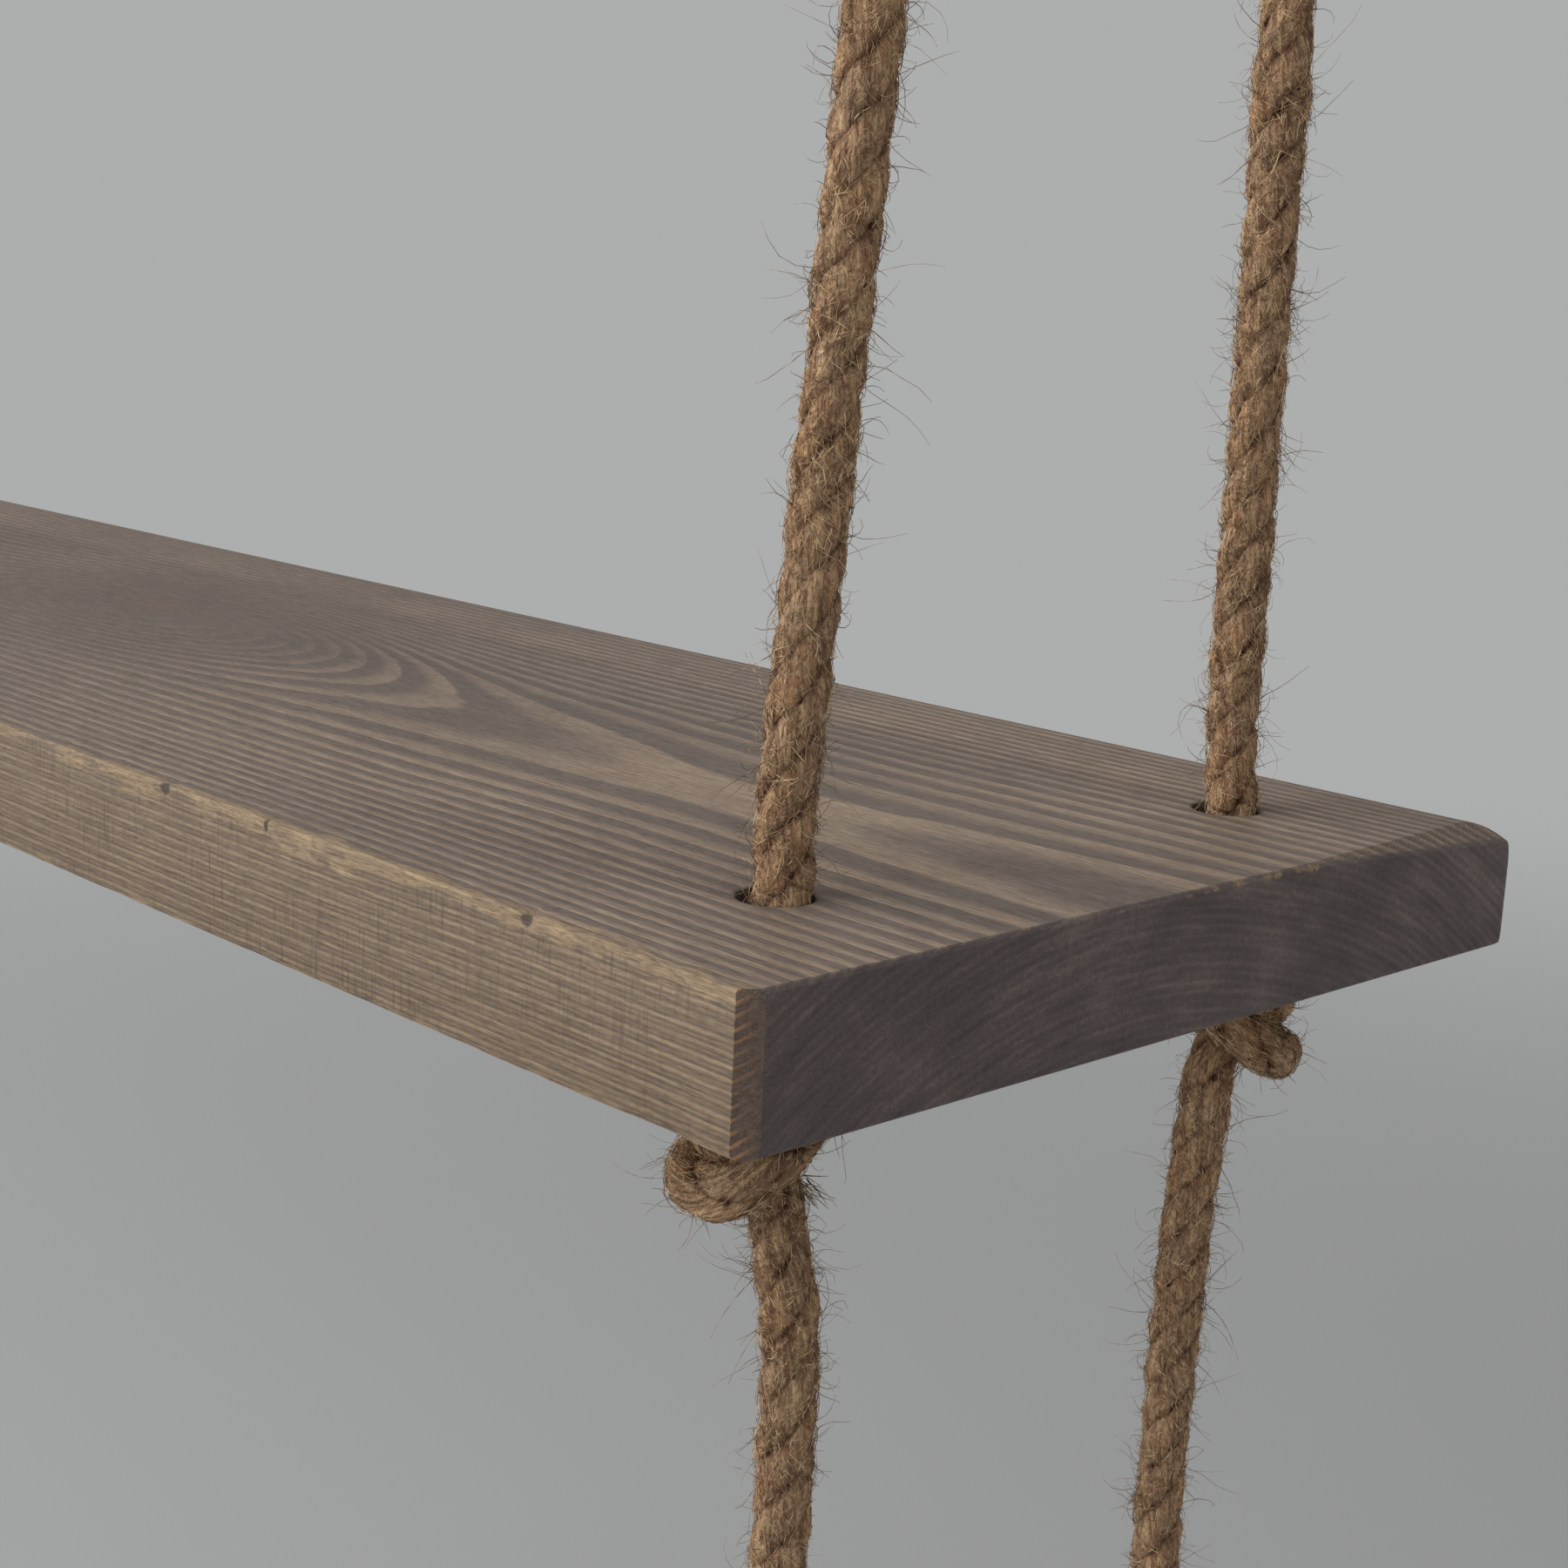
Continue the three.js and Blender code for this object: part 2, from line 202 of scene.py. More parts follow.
# Rope routes
def smooth_line(points, step=0.0004):
    """A close row of points on the centripetal curve through the given ones."""
    p = [Vector(q) for q in points]
    p = [2 * p[0] - p[1]] + p + [2 * p[-1] - p[-2]]
    line = []
    for a, b, c, d in zip(p, p[1:], p[2:], p[3:]):
        tb = (b - a).length ** 0.5
        tc = tb + (c - b).length ** 0.5
        td = tc + (d - c).length ** 0.5
        count = max(2, math.ceil((c - b).length / step))
        for i in range(count):
            t = tb + (tc - tb) * i / count
            ab = a.lerp(b, t / tb)
            bc = b.lerp(c, (t - tb) / (tc - tb))
            cd = c.lerp(d, (t - tc) / (td - tc))
            line.append(ab.lerp(bc, t / tc).lerp(bc.lerp(cd, (t - tb) / (td - tb)), (t - tb) / (tc - tb)))
    line.append(p[-2].copy())
    return line


def evenly(line, step=RING_STEP):
    points = np.array([tuple(q) for q in line])
    gaps = np.linalg.norm(np.diff(points, axis=0), axis=1)
    points = points[np.r_[True, gaps > 1e-7]]
    along = np.r_[0, np.cumsum(np.linalg.norm(np.diff(points, axis=0), axis=1))]
    places = np.linspace(0, along[-1], max(2, round(along[-1] / step) + 1))
    return np.stack([np.interp(places, along, points[:, k]) for k in range(3)], axis=1)


def eye_route(corner):
    """From the tucked end up round the hook's wire, down to the throat of the splice."""
    wire = joint_place("swing_" + corner)
    throat = joint_place("sway_" + corner)
    down = (throat - wire).normalized()
    out = Vector((1, 0, 0)).cross(down)
    crown = WIRE_RADIUS + FIT_GAP + ROPE_RADIUS
    reach = (throat - wire).length
    leg = [
        (EYE_LEG_SPREAD * 0.10, EYE_DROP + EYE_LEG_SPREAD * 1.3),
        (EYE_LEG_SPREAD * 0.30, EYE_DROP + EYE_LEG_SPREAD * 0.6),
        (EYE_LEG_SPREAD * 0.56, EYE_DROP * 0.92),
        (crown, EYE_DROP * 0.42),
    ]
    arc = [(crown * math.cos(math.pi * i / 6), -crown * math.sin(math.pi * i / 6)) for i in range(7)]
    flat = [(-a, d) for a, d in leg] + [(-a, d) for a, d in arc] + list(reversed(leg))
    flat += [(0, reach * share) for share in (0.72, 0.86, 1)]
    return [wire + out * a + down * d for a, d in flat]


def eased(value, low):
    """0 up to the low value, rising smoothly to 1 at one more."""
    share = min(1, max(0, value - low))
    return share * share * (3 - 2 * share)


def knot_route(top, heading, leans, stub=0):
    lower = [Vector(p) for p in KNOT_HALF]
    upper = [Vector((p.x, -p.y, -p.z)) for p in reversed(lower[1:])]
    turn = Matrix.Rotation(math.radians(heading), 3, "Z")
    body_lean, exit_lean = leans
    route = []
    for place in upper + lower:
        point = turn @ ((place - upper[0]) * KNOT_UNIT)
        depth = -point.z / KNOT_UNIT
        lean = body_lean * eased(depth, 0.15) + (exit_lean - body_lean) * eased(depth, 1.9)
        route.append(top + point + TAIL_WAY * lean)
    if stub:
        route.append(route[-1] - Vector((0, 0, stub)))
    return route


def rope_routes(corner):
    facts = CORNERS[corner]
    throat = joint_place("sway_" + corner)
    mouth = middle_of("rope_bend_" + corner)
    under = Vector((mouth.x, mouth.y, board_low.z))
    drop = Vector((0, 0, -FIT_GAP))
    knot = knot_route(under + drop, facts["heading"], facts["leans"])
    start = knot[-1] + drop
    tail = [start]
    for i, (across, depth) in enumerate(facts["tail"]):
        shift = across - (start - under).dot(TAIL_WAY) if i else 0
        tail.append(Vector((start.x, start.y, under.z - depth)) + TAIL_WAY * shift)
    return {
        "eye": eye_route(corner),
        "span": [throat, mouth],
        "hole": [mouth, under],
        "knot": knot,
        "tail": tail,
        "end": knot_route(tail[-1] + drop, facts["end_heading"], (0, 0), STUB_LENGTH),
    }


class LaidRope:
    """A rope's middle line, with the lay of its three strands round it."""

    def __init__(self, line, radii):
        self.line = line
        self.radii = radii
        self.places = np.r_[0, np.cumsum(np.linalg.norm(np.diff(line, axis=0), axis=1))]
        self.turns = 2 * math.pi * self.places / LAY_LENGTH
        tangents = np.gradient(line, axis=0)
        self.tangents = tangents / np.linalg.norm(tangents, axis=1, keepdims=True)
        normals = [Vector(self.tangents[0]).orthogonal().normalized()]
        for t in self.tangents[1:]:
            t = Vector(t)
            normals.append((normals[-1] - t * normals[-1].dot(t)).normalized())
        self.normals = np.array([tuple(n) for n in normals])
        self.sides = np.cross(self.tangents, self.normals)

    def outward(self, at, angle):
        angle = np.asarray(angle)[..., None]
        return np.cos(angle) * self.normals[at] + np.sin(angle) * self.sides[at]

    def surface(self, at, angle):
        """Distance from the middle line to the strands' surface."""
        third = 2 * math.pi / 3
        apart = (angle - self.turns[at] + third / 2) % third - third / 2
        offset = STRAND_OFFSET_SHARE * self.radii[at]
        size = STRAND_WIDE_SHARE * self.radii[at]
        reach = np.sqrt(np.maximum(size**2 - (offset * np.sin(apart)) ** 2, 0))
        return offset * np.cos(apart) + reach - 0.04 * self.radii[at]

    def nearest(self, point):
        return int(np.argmin(np.linalg.norm(self.line - np.array(tuple(point)), axis=1)))


def lay_rope(corner, seed):
    routes = rope_routes(corner)
    line = evenly([q for points in routes.values() for q in smooth_line(points)])
    soft = np.stack(
        [np.convolve(np.pad(line[:, k], 2, mode="edge"), np.ones(5) / 5, "valid") for k in range(3)],
        axis=1,
    )
    soft[0], soft[-1] = line[0], line[-1]
    line = evenly(soft)
    mouth = np.array(tuple(routes["hole"][0]))
    by_mouth = np.exp(-((np.linalg.norm(line - mouth, axis=1) / MOUTH_REACH) ** 2))
    above = line[:, 2] > board_low.z
    line = line + (by_mouth * above * MOUTH_LEAN)[:, None] * np.array(tuple(TAIL_WAY))
    rope = LaidRope(line, np.full(len(line), ROPE_RADIUS))
    at = {name: rope.nearest(points[0]) for name, points in routes.items()}
    at["last"] = len(line) - 1
    tight = np.zeros(len(line))
    tight[at["knot"] : at["tail"]] = 1
    tight[at["end"] : at["last"] - round(STUB_LENGTH / RING_STEP)] = 1
    tight = np.convolve(tight, np.ones(9) / 9, "same")
    tucked = np.clip(1 - rope.places / TUCKED_END, 0, 1)
    rope.radii -= tight * (ROPE_RADIUS - KNOT_ROPE_RADIUS) + tucked * TUCKED_END_THINNER
    slow = np.array([noise.noise(Vector((v * 55, seed, 0.3))) for v in rope.places])
    rope.radii *= 1 + 0.05 * slow
    if corner == "back_right":
        rope.radii *= 1 + 0.09 * np.exp(-(((line[:, 2] - FRAYED_HEIGHT) / FRAYED_REACH) ** 2))
    return rope, at


# Meshes
def mesh_object(name, vertices, faces, material, attributes=None):
    mesh = bpy.data.meshes.new(name)
    mesh.from_pydata(np.asarray(vertices).tolist(), [], faces)
    mesh.shade_smooth()
    for key, (kind, values) in (attributes or {}).items():
        layer = mesh.attributes.new(key, kind, "POINT")
        field = "vector" if kind == "FLOAT_VECTOR" else "value"
        layer.data.foreach_set(field, np.asarray(values, np.float32).ravel())
    mesh.materials.append(material)
    made = bpy.data.objects.new(name, mesh)
    bpy.context.scene.collection.objects.link(made)
    return made


class Strands:
    """Closed yarn tubes gathered for one piece."""

    def __init__(self):
        self.vertices, self.faces, self.fibre, self.crest = [], [], [], []
        self.count = 0

    def add(self, centres, outward, sideways, deep, wide, along, seed):
        n = len(centres)
        a = 2 * math.pi * np.arange(STRAND_SIDES) / STRAND_SIDES
        spun = a[None, :] + FIBRE_TURN * along[:, None]
        lump = np.array(
            [
                [
                    noise.noise(Vector((0.9 * math.cos(s) + seed, 0.9 * math.sin(s), v * 340)))
                    for s in row
                ]
                for row, v in zip(spun, along)
            ]
        )
        swell = 1 + 0.045 * np.cos(4 * spun + seed) + 0.035 * np.cos(7 * spun - seed) + 0.16 * lump
        ring = (
            centres[:, None, :]
            + outward[:, None, :] * (np.cos(a) * deep[:, None] * swell)[..., None]
            + sideways[:, None, :] * (np.sin(a) * wide[:, None] * swell)[..., None]
        )
        self.vertices.append(ring.reshape(-1, 3))
        size = deep.max()
        self.fibre.append(
            np.stack(
                [np.cos(spun) * size, np.sin(spun) * size, along[:, None] + 0 * spun + seed], axis=-1
            ).reshape(-1, 3)
        )
        # 1 on a strand's crest and 0 in the grooves beside it; the rope material paints shade into the
        # grooves with it
        self.crest.append(np.tile(0.5 + 0.5 * np.cos(a), n))
        low = self.count + STRAND_SIDES * np.arange(n - 1)[:, None] + np.arange(STRAND_SIDES)
        beside = self.count + STRAND_SIDES * np.arange(n - 1)[:, None] + np.roll(
            np.arange(STRAND_SIDES), -1
        )
        quads = np.stack([low, beside, beside + STRAND_SIDES, low + STRAND_SIDES], axis=-1)
        self.faces += quads.reshape(-1, 4).tolist()
        self.faces.append(list(range(self.count + STRAND_SIDES - 1, self.count - 1, -1)))
        self.count += n * STRAND_SIDES
        self.faces.append(list(range(self.count - STRAND_SIDES, self.count)))

    def add_rope(self, rope, first, last):
        at = np.arange(first, last + 1)
        radii = rope.radii[at]
        for k in range(3):
            outward = rope.outward(at, rope.turns[at] + 2 * math.pi * k / 3)
            offset = STRAND_OFFSET_SHARE * radii[:, None]
            around = np.cross(rope.tangents[at], outward)
            forward = rope.tangents[at] + around * offset * 2 * math.pi / LAY_LENGTH
            forward /= np.linalg.norm(forward, axis=1, keepdims=True)
            self.add(
                rope.line[at] + outward * offset,
                outward,
                np.cross(forward, outward),
                STRAND_DEEP_SHARE * radii,
                STRAND_WIDE_SHARE * radii,
                rope.places[at],
                3.0 * k + 0.7,
            )

    def made(self, name):
        return mesh_object(
            name,
            np.concatenate(self.vertices),
            self.faces,
            materials["rope"],
            {
                "fibre": ("FLOAT_VECTOR", np.concatenate(self.fibre)),
                "crest": ("FLOAT", np.concatenate(self.crest)),
            },
        )


# Loose fibres: how many stand and lie on a millimetre of rope, and their lengths and radii
STANDING_PER_MM = 8.5
LYING_PER_MM = 13.0
SHORT_FIBRES = (0.0012, 0.0032)
MIDDLE_FIBRES = (0.0030, 0.0062)
LONG_FIBRES = (0.006, 0.012)
LYING_FIBRES = (0.0022, 0.0085)
BRISTLES = (0.0022, 0.0048)
FRAYED_FIBRES = (0.004, 0.0085)
STANDING_RADII = (0.000042, 0.000078)
LYING_RADII = (0.000045, 0.000095)
BRISTLE_RADII = (0.00008, 0.00013)
FRAYED_RADII = (0.00006, 0.00015)
FRAYED_COUNT = 60


def unit(v):
    return v / (np.linalg.norm(v, axis=-1, keepdims=True) + 1e-12)


def grown(start, heading, curl, step, steps, shake=lambda: 0):
    """Rows of points along fibres that grow in short steps, each curling its own way."""
    points = [start]
    for _ in range(steps):
        points.append(points[-1] + heading * step)
        heading = unit(heading + np.cross(curl, heading) * step + shake())
    return np.stack(points, axis=1)


def clumped(rng, first, last, count):
    """Places along the rope, closer together in some stretches."""
    along = np.arange(first, last + 1)
    shift = rng.uniform(0, 100)
    crowd = np.array([noise.noise(Vector((i * RING_STEP * 130, shift, 0.7))) for i in along])
    weight = np.exp(1.6 * crowd)
    return rng.choice(along, count, p=weight / weight.sum())


def standing_fibres(rng, rope, first, last, count):
    """Fibres that leave the surface and curl in the air."""
    at = clumped(rng, first, last, count)
    angle = rng.uniform(0, 2 * math.pi, count)
    kind = rng.random(count)
    length = np.where(
        kind < 0.5,
        rng.uniform(*SHORT_FIBRES, count),
        np.where(kind < 0.93, rng.uniform(*MIDDLE_FIBRES, count), rng.uniform(*LONG_FIBRES, count)),
    )
    out = rope.outward(at, angle)
    around = np.cross(rope.tangents[at], out)
    way = rng.choice([-1, 1], (count, 1)) * rope.tangents[at] + 0.7 * rng.normal(size=(count, 1)) * around
    heading = unit(unit(way) + out * rng.uniform(0.3, 2.0, (count, 1)))
    curl = unit(rng.normal(size=(count, 3))) * rng.uniform(150, 1100, (count, 1))
    curl *= np.minimum(1, 0.0030 / length)[:, None]
    start = rope.line[at] + out * (rope.surface(at, angle) - 0.0003)[:, None]
    points = grown(
        start, heading, curl, (length / 5)[:, None], 5, lambda: rng.normal(0, 0.13, (count, 3))
    )
    return points, rng.uniform(*STANDING_RADII, count)


def lying_fibres(rng, rope, first, last, count):
    """Fibres that lie along and across the strands and bridge their grooves."""
    at = clumped(rng, first, last, count).astype(float)
    angle = rng.uniform(0, 2 * math.pi, count)
    slope = np.where(rng.random(count) < 0.62, rng.normal(0, 0.34, count), rng.normal(0, 1.7, count))
    length = rng.uniform(*LYING_FIBRES, count)
    sign = rng.choice([-1, 1], count)
    bend = rng.normal(0, 0.30, count)
    lift = np.abs(rng.normal(0, 0.0003, count))
    bridge = rng.uniform(0.1, 0.95, count)
    points = []
    steps = 6
    for n in range(steps + 1):
        low = np.clip(np.floor(at).astype(int), 0, len(rope.line) - 2)
        part = np.clip(at - low, 0, 1)[:, None]
        here = rope.line[low] * (1 - part) + rope.line[low + 1] * part
        out = rope.outward(low, angle)
        close = rope.surface(low, angle) * (1 - bridge) + 0.97 * rope.radii[low] * bridge
        sunk = 0.0002 if n in (0, steps) else 0
        points.append(here + out * (close + lift * math.sin(math.pi * n / steps) - sunk)[:, None])
        stride = length / steps / np.hypot(1, slope)
        at = np.clip(at + sign * stride / RING_STEP, 0, len(rope.line) - 1.001)
        angle = angle + slope * stride / rope.radii[low]
        slope = slope + bend + rng.normal(0, 0.25, count)
    return np.stack(points, axis=1), rng.uniform(*LYING_RADII, count)


def fibre_piece(name, groups):
    """One piece of thin three-sided tubes from groups of (points, radii, share of painted standing-fibre
    shade).
    """
    vertices, quads, caps, standing_shade, base = [], [], [], [], 0
    a = 2 * math.pi * np.arange(3) / 3
    for points, radii, standing in groups:
        n, m, _ = points.shape
        ahead = unit(np.gradient(points, axis=1))
        side = unit(np.cross(ahead, (0.36, 0.48, 0.8)))
        other = np.cross(ahead, side)
        thin = (radii[:, None] * np.linspace(1, 0.35, m))[:, :, None, None]
        ring = points[:, :, None, :] + thin * (
            np.cos(a)[:, None] * side[:, :, None, :] + np.sin(a)[:, None] * other[:, :, None, :]
        )
        vertices.append(ring.reshape(-1, 3))
        standing_shade.append(np.full(n * m * 3, standing))
        starts = base + 3 * m * np.arange(n)
        low = starts[:, None, None] + 3 * np.arange(m - 1)[:, None] + np.arange(3)
        beside = starts[:, None, None] + 3 * np.arange(m - 1)[:, None] + np.array([1, 2, 0])
        quads += np.stack([low, beside, beside + 3, low + 3], axis=-1).reshape(-1, 4).tolist()
        caps += (starts[:, None] + np.array([2, 1, 0])).tolist()
        caps += (starts[:, None] + 3 * (m - 1) + np.array([0, 1, 2])).tolist()
        base += n * m * 3
    return mesh_object(
        name,
        np.concatenate(vertices),
        quads + caps,
        materials["fibre"],
        {"standing_shade": ("FLOAT", np.concatenate(standing_shade))},
    )


def fuzz(name, rope, first, last, seed, standing=STANDING_PER_MM, lying=LYING_PER_MM, more=()):
    rng = np.random.default_rng(seed)
    reach = (last - first) * RING_STEP * 1000
    return fibre_piece(
        name,
        [
            (*standing_fibres(rng, rope, first, last, int(reach * standing)), 1.0),
            (*lying_fibres(rng, rope, first, last, int(reach * lying)), 0.0),
            *more,
        ],
    )


def frayed_place(rope, height, seed):
    """A fuller place of the rope, where many fibres have worked loose."""
    rng = np.random.default_rng(seed)
    at = int(np.argmin(np.abs(rope.line[:, 2] - height)))
    first, last = at - 6, at + 6
    return [
        (*standing_fibres(rng, rope, first, last, 90), 0.35),
        (*lying_fibres(rng, rope, first, last, 160), 0.0),
    ]


def tuft(rng, place, way, count):
    """Stiff bristles that stick out together, in the darker standing-fibre colour that paints shade."""
    start = np.array(tuple(place)) + rng.normal(0, 0.0004, (count, 3))
    heading = unit(np.array(way) + rng.normal(0, 0.2, (count, 3)))
    curl = rng.normal(0, 70, (count, 3))
    points = grown(start, heading, curl, rng.uniform(*BRISTLES, (count, 1)) / 6, 6)
    return points, rng.uniform(*BRISTLE_RADII, count), 1.0


def frayed_fibres(rng, rope):
    """Fibres of the three opened strands at the rope's cut end."""
    last = len(rope.line) - 1
    each = FRAYED_COUNT
    groups = []
    for k in range(3):
        out = rope.outward(last, rope.turns[last] + 2 * math.pi * k / 3)
        centre = rope.line[last] + out * STRAND_OFFSET_SHARE * rope.radii[last]
        start = centre + rng.normal(0, 0.0007, (each, 3)) - rope.tangents[last] * 0.003
        heading = unit(
            rope.tangents[last] + out * rng.uniform(-0.1, 0.45, (each, 1)) + rng.normal(0, 0.2, (each, 3))
        )
        curl = rng.normal(0, 60, (each, 3))
        points = grown(start, heading, curl, rng.uniform(*FRAYED_FIBRES, (each, 1)) / 9, 9)
        groups.append((points, rng.uniform(*FRAYED_RADII, each), 0.3))
    return groups


# Material parts
def paint(colour):
    """A colour as nodes take it, from values from 0 to 255 as seen. A plain share gives a grey."""
    if not isinstance(colour, tuple):
        return (colour, colour, colour, 1)
    shares = [v / 255 for v in colour]
    return (*(v / 12.92 if v <= 0.04045 else ((v + 0.055) / 1.055) ** 2.4 for v in shares), 1)


def give(socket, value):
    """Links a pattern to a socket, or sets the socket's own value."""
    value = getattr(value, "socket", value)
    if isinstance(value, bpy.types.NodeSocket):
        socket.id_data.links.new(value, socket)
    else:
        socket.default_value = value


def add_node(tree, kind, inputs=None, **settings):
    made = tree.nodes.new(kind)
    for key, value in settings.items():
        setattr(made, key, value)
    for key, value in (inputs or {}).items():
        give(made.inputs[key], value)
    return made


def make_grain_group():
    """Noise drawn out along a direction, spread over 0 to 1."""
    group = bpy.data.node_groups.new("drawn_out_grain", "ShaderNodeTree")
    for name, kind, value in (
        ("Place", "Vector", (0, 0, 0)),
        ("Marks per metre", "Vector", (100, 100, 100)),
        ("Shift", "Vector", (0, 0, 0)),
        ("Fine detail", "Float", 2.0),
        ("Low", "Float", 0.3),
        ("High", "Float", 0.7),
    ):
        socket = group.interface.new_socket(name=name, in_out="INPUT", socket_type="NodeSocket" + kind)
        socket.default_value = value
    group.interface.new_socket(name="Grain", in_out="OUTPUT", socket_type="NodeSocketFloat")
    given = group.nodes.new("NodeGroupInput").outputs
    scaled = {"Vector": given["Place"], "Scale": given["Marks per metre"], "Location": given["Shift"]}
    mapped = add_node(group, "ShaderNodeMapping", scaled).outputs[0]
    drawn = {"Vector": mapped, "Scale": 1.0, "Detail": given["Fine detail"], "Roughness": 0.55}
    noisy = add_node(group, "ShaderNodeTexNoise", drawn).outputs["Fac"]
    limits = {"Value": noisy, "From Min": given["Low"], "From Max": given["High"]}
    spread = add_node(group, "ShaderNodeMapRange", limits).outputs[0]
    give(group.nodes.new("NodeGroupOutput").inputs[0], spread)
    return group


class Pattern:
    """A value or colour that changes over the surface, with the nodes that work on it."""

    def __init__(self, socket):
        self.socket = socket

    def node(self, kind, inputs, output=0, **settings):
        return Pattern(add_node(self.socket.id_data, kind, inputs, **settings).outputs[output])

    def maths(self, operation, other=0.0):
        return self.node("ShaderNodeMath", {0: self, 1: other}, operation=operation)

    def __add__(self, other):
        return self.maths("ADD", other)

    def __sub__(self, other):
        return self.maths("SUBTRACT", other)

    def __rsub__(self, other):
        return self.node("ShaderNodeMath", {0: other, 1: self}, operation="SUBTRACT")

    def __mul__(self, other):
        return self.maths("MULTIPLY", other)

    def __truediv__(self, other):
        return self.maths("DIVIDE", other)

    def either(self, other):
        return self.maths("MAXIMUM", other)

    def length_with(self, other):
        return (self * self + other * other).maths("SQRT")

    def clamped(self):
        self.socket.node.use_clamp = True
        return self

    def near(self, place, reach):
        """1 at the place, falling to 0 at the reach on both sides."""
        return (1.0 - (self - place).maths("ABSOLUTE") / reach).clamped()

    def grain(self, marks, low=0.3, high=0.7, detail=2.0, shift=(0, 0, 0)):
        inputs = {"Place": self, "Marks per metre": marks, "Shift": shift}
        inputs |= {"Fine detail": detail, "Low": low, "High": high}
        return self.node("ShaderNodeGroup", inputs, node_tree=grain_group)

    def ramp(self, *stops, interpolation="LINEAR"):
        made = self.node("ShaderNodeValToRGB", {"Fac": self})
        colours = made.socket.node.color_ramp
        colours.interpolation = interpolation
        while len(colours.elements) < len(stops):
            colours.elements.new(0.5)
        for element, (place, colour) in zip(colours.elements, stops):
            element.position = place
            element.color = paint(colour)
        return made

    def mix(self, a, b):
        """The first colour where this is 0, and the second where it is 1."""
        a, b = (paint(colour) if isinstance(colour, tuple) else colour for colour in (a, b))
        return self.node("ShaderNodeMix", {0: self, 6: a, 7: b}, 2, data_type="RGBA")

    def tinted(self, tint):
        inputs = {0: 1.0, 6: self, 7: tint}
        return self.node("ShaderNodeMix", inputs, 2, data_type="RGBA", blend_type="MULTIPLY")


class Finish:
    """A material, its shader, and the place on the object that its patterns start from."""

    def __init__(self, name, roughness, specular):
        self.material = bpy.data.materials.new(name)
        self.material.use_nodes = True
        self.tree = self.material.node_tree
        self.shader = self.tree.nodes["Principled BSDF"]
        self.give("Roughness", roughness)
        self.give("Specular IOR Level", specular)
        self.place = self.found("ShaderNodeTexCoord", "Object")

    def found(self, kind, output, **settings):
        return Pattern(add_node(self.tree, kind, **settings).outputs[output])

    def give(self, name, value):
        give(self.shader.inputs[name], value)

    def bump(self, height, strength, distance):
        inputs = {"Height": height, "Strength": strength, "Distance": distance}
        self.give("Normal", height.node("ShaderNodeBump", inputs))


# Materials
def rope_material():
    """Dry jute: fibres nearly along the rope, with painted shade darkening the grooves between the
    strands.
    """
    finish = Finish("jute_rope", 0.9, 0.12)
    place = finish.place
    fibre = finish.found("ShaderNodeAttribute", "Vector", attribute_name="fibre")
    crest = finish.found("ShaderNodeAttribute", "Fac", attribute_name="crest")
    fine = fibre.grain((2700, 2700, 190), 0.28, 0.72, 2.5)
    yarn = fibre.grain((620, 620, 95), 0.3, 0.7, 2.0, (7, 3, 1))
    patch = fibre.grain((160, 160, 90), 0.35, 0.65, 1.0, (1, 9, 4))
    colour = (fine * 0.48 + yarn * 0.52).ramp(
        (0.12, (94, 65, 51)),
        (0.34, (128, 97, 76)),
        (0.52, (156, 123, 96)),
        (0.70, (186, 153, 118)),
        (0.90, (222, 192, 152)),
    )
    colour = colour.tinted(patch.ramp((0.0, (255, 239, 224)), (1.0, (252, 251, 248))))

    # Matted fibres, drawn as thin pale bent lines along and across the strands, with painted shade lines
    # between them
    hairs, gaps = [], []
    for source, marks, shift, width in (
        (fibre, (430, 430, 140), (2, 5, 3), 0.085),
        (fibre, (640, 640, 250), (8, 1, 6), 0.095),
        (place, (390, 390, 330), (5, 5, 9), 0.05),
    ):
        field = source.grain(marks, 0.25, 0.75, 1.0, shift)
        hairs.append(field.near(0.36, width).either(field.near(0.64, width)))
        gaps.append(field.near(0.5, width))
    hair = hairs[0].either(hairs[1]).either(hairs[2])
    painted_gap_shade = gaps[0].either(gaps[1]).either(gaps[2])
    colour = (painted_gap_shade * 0.42).mix(colour, (106, 77, 63))
    colour = (hair * 0.42).mix(colour, (212, 184, 149))

    # Shade gathers in spots between the strands.
    spots = place.grain((330, 330, 330), 0.3, 0.7, 2.0, (3, 3, 3))
    depth = (spots - 0.5) * 0.26 + crest
    colour = colour.tinted(depth.ramp((0.54, (108, 80, 72)), (0.80, (255, 255, 255))))
    finish.give("Base Color", colour)
    finish.bump(hair * 0.8 + fine * 0.5 + yarn, 0.8, 0.0004)
    return finish.material


def fibre_material():
    """Single fibres: those that lie are pale, and those that stand get a duller, darker copy as painted
    shade.
    """
    finish = Finish("loose_jute_fibre", 0.8, 0.15)
    standing_shade = finish.found("ShaderNodeAttribute", "Fac", attribute_name="standing_shade")
    tone = finish.place.grain((700, 700, 700), 0.32, 0.68, 1.0)
    lying = tone.ramp((0.1, (122, 91, 71)), (0.5, (176, 145, 112)), (0.9, (222, 195, 156)))
    standing = tone.ramp((0.1, (100, 83, 69)), (0.5, (140, 119, 97)), (0.9, (190, 167, 136)))
    finish.give("Base Color", standing_shade.mix(lying, standing))
    return finish.material


def zinc_material():
    """Plated steel wire that has gone dull in clouds."""
    finish = Finish("dull_zinc", 0.4, 0.5)
    cloud = finish.place.grain((260, 260, 260), 0.35, 0.65, 3.0)
    speck = finish.place.grain((1900, 1900, 1900), 0.3, 0.7, 2.0)
    finish.give("Base Color", cloud.ramp((0.0, (158, 157, 153)), (1.0, (200, 198, 191))))
    finish.give("Roughness", cloud.ramp((0.0, 0.30), (1.0, 0.48)))
    finish.give("Metallic", 1.0)
    finish.bump(speck, 0.25, 0.0001)
    return finish.material


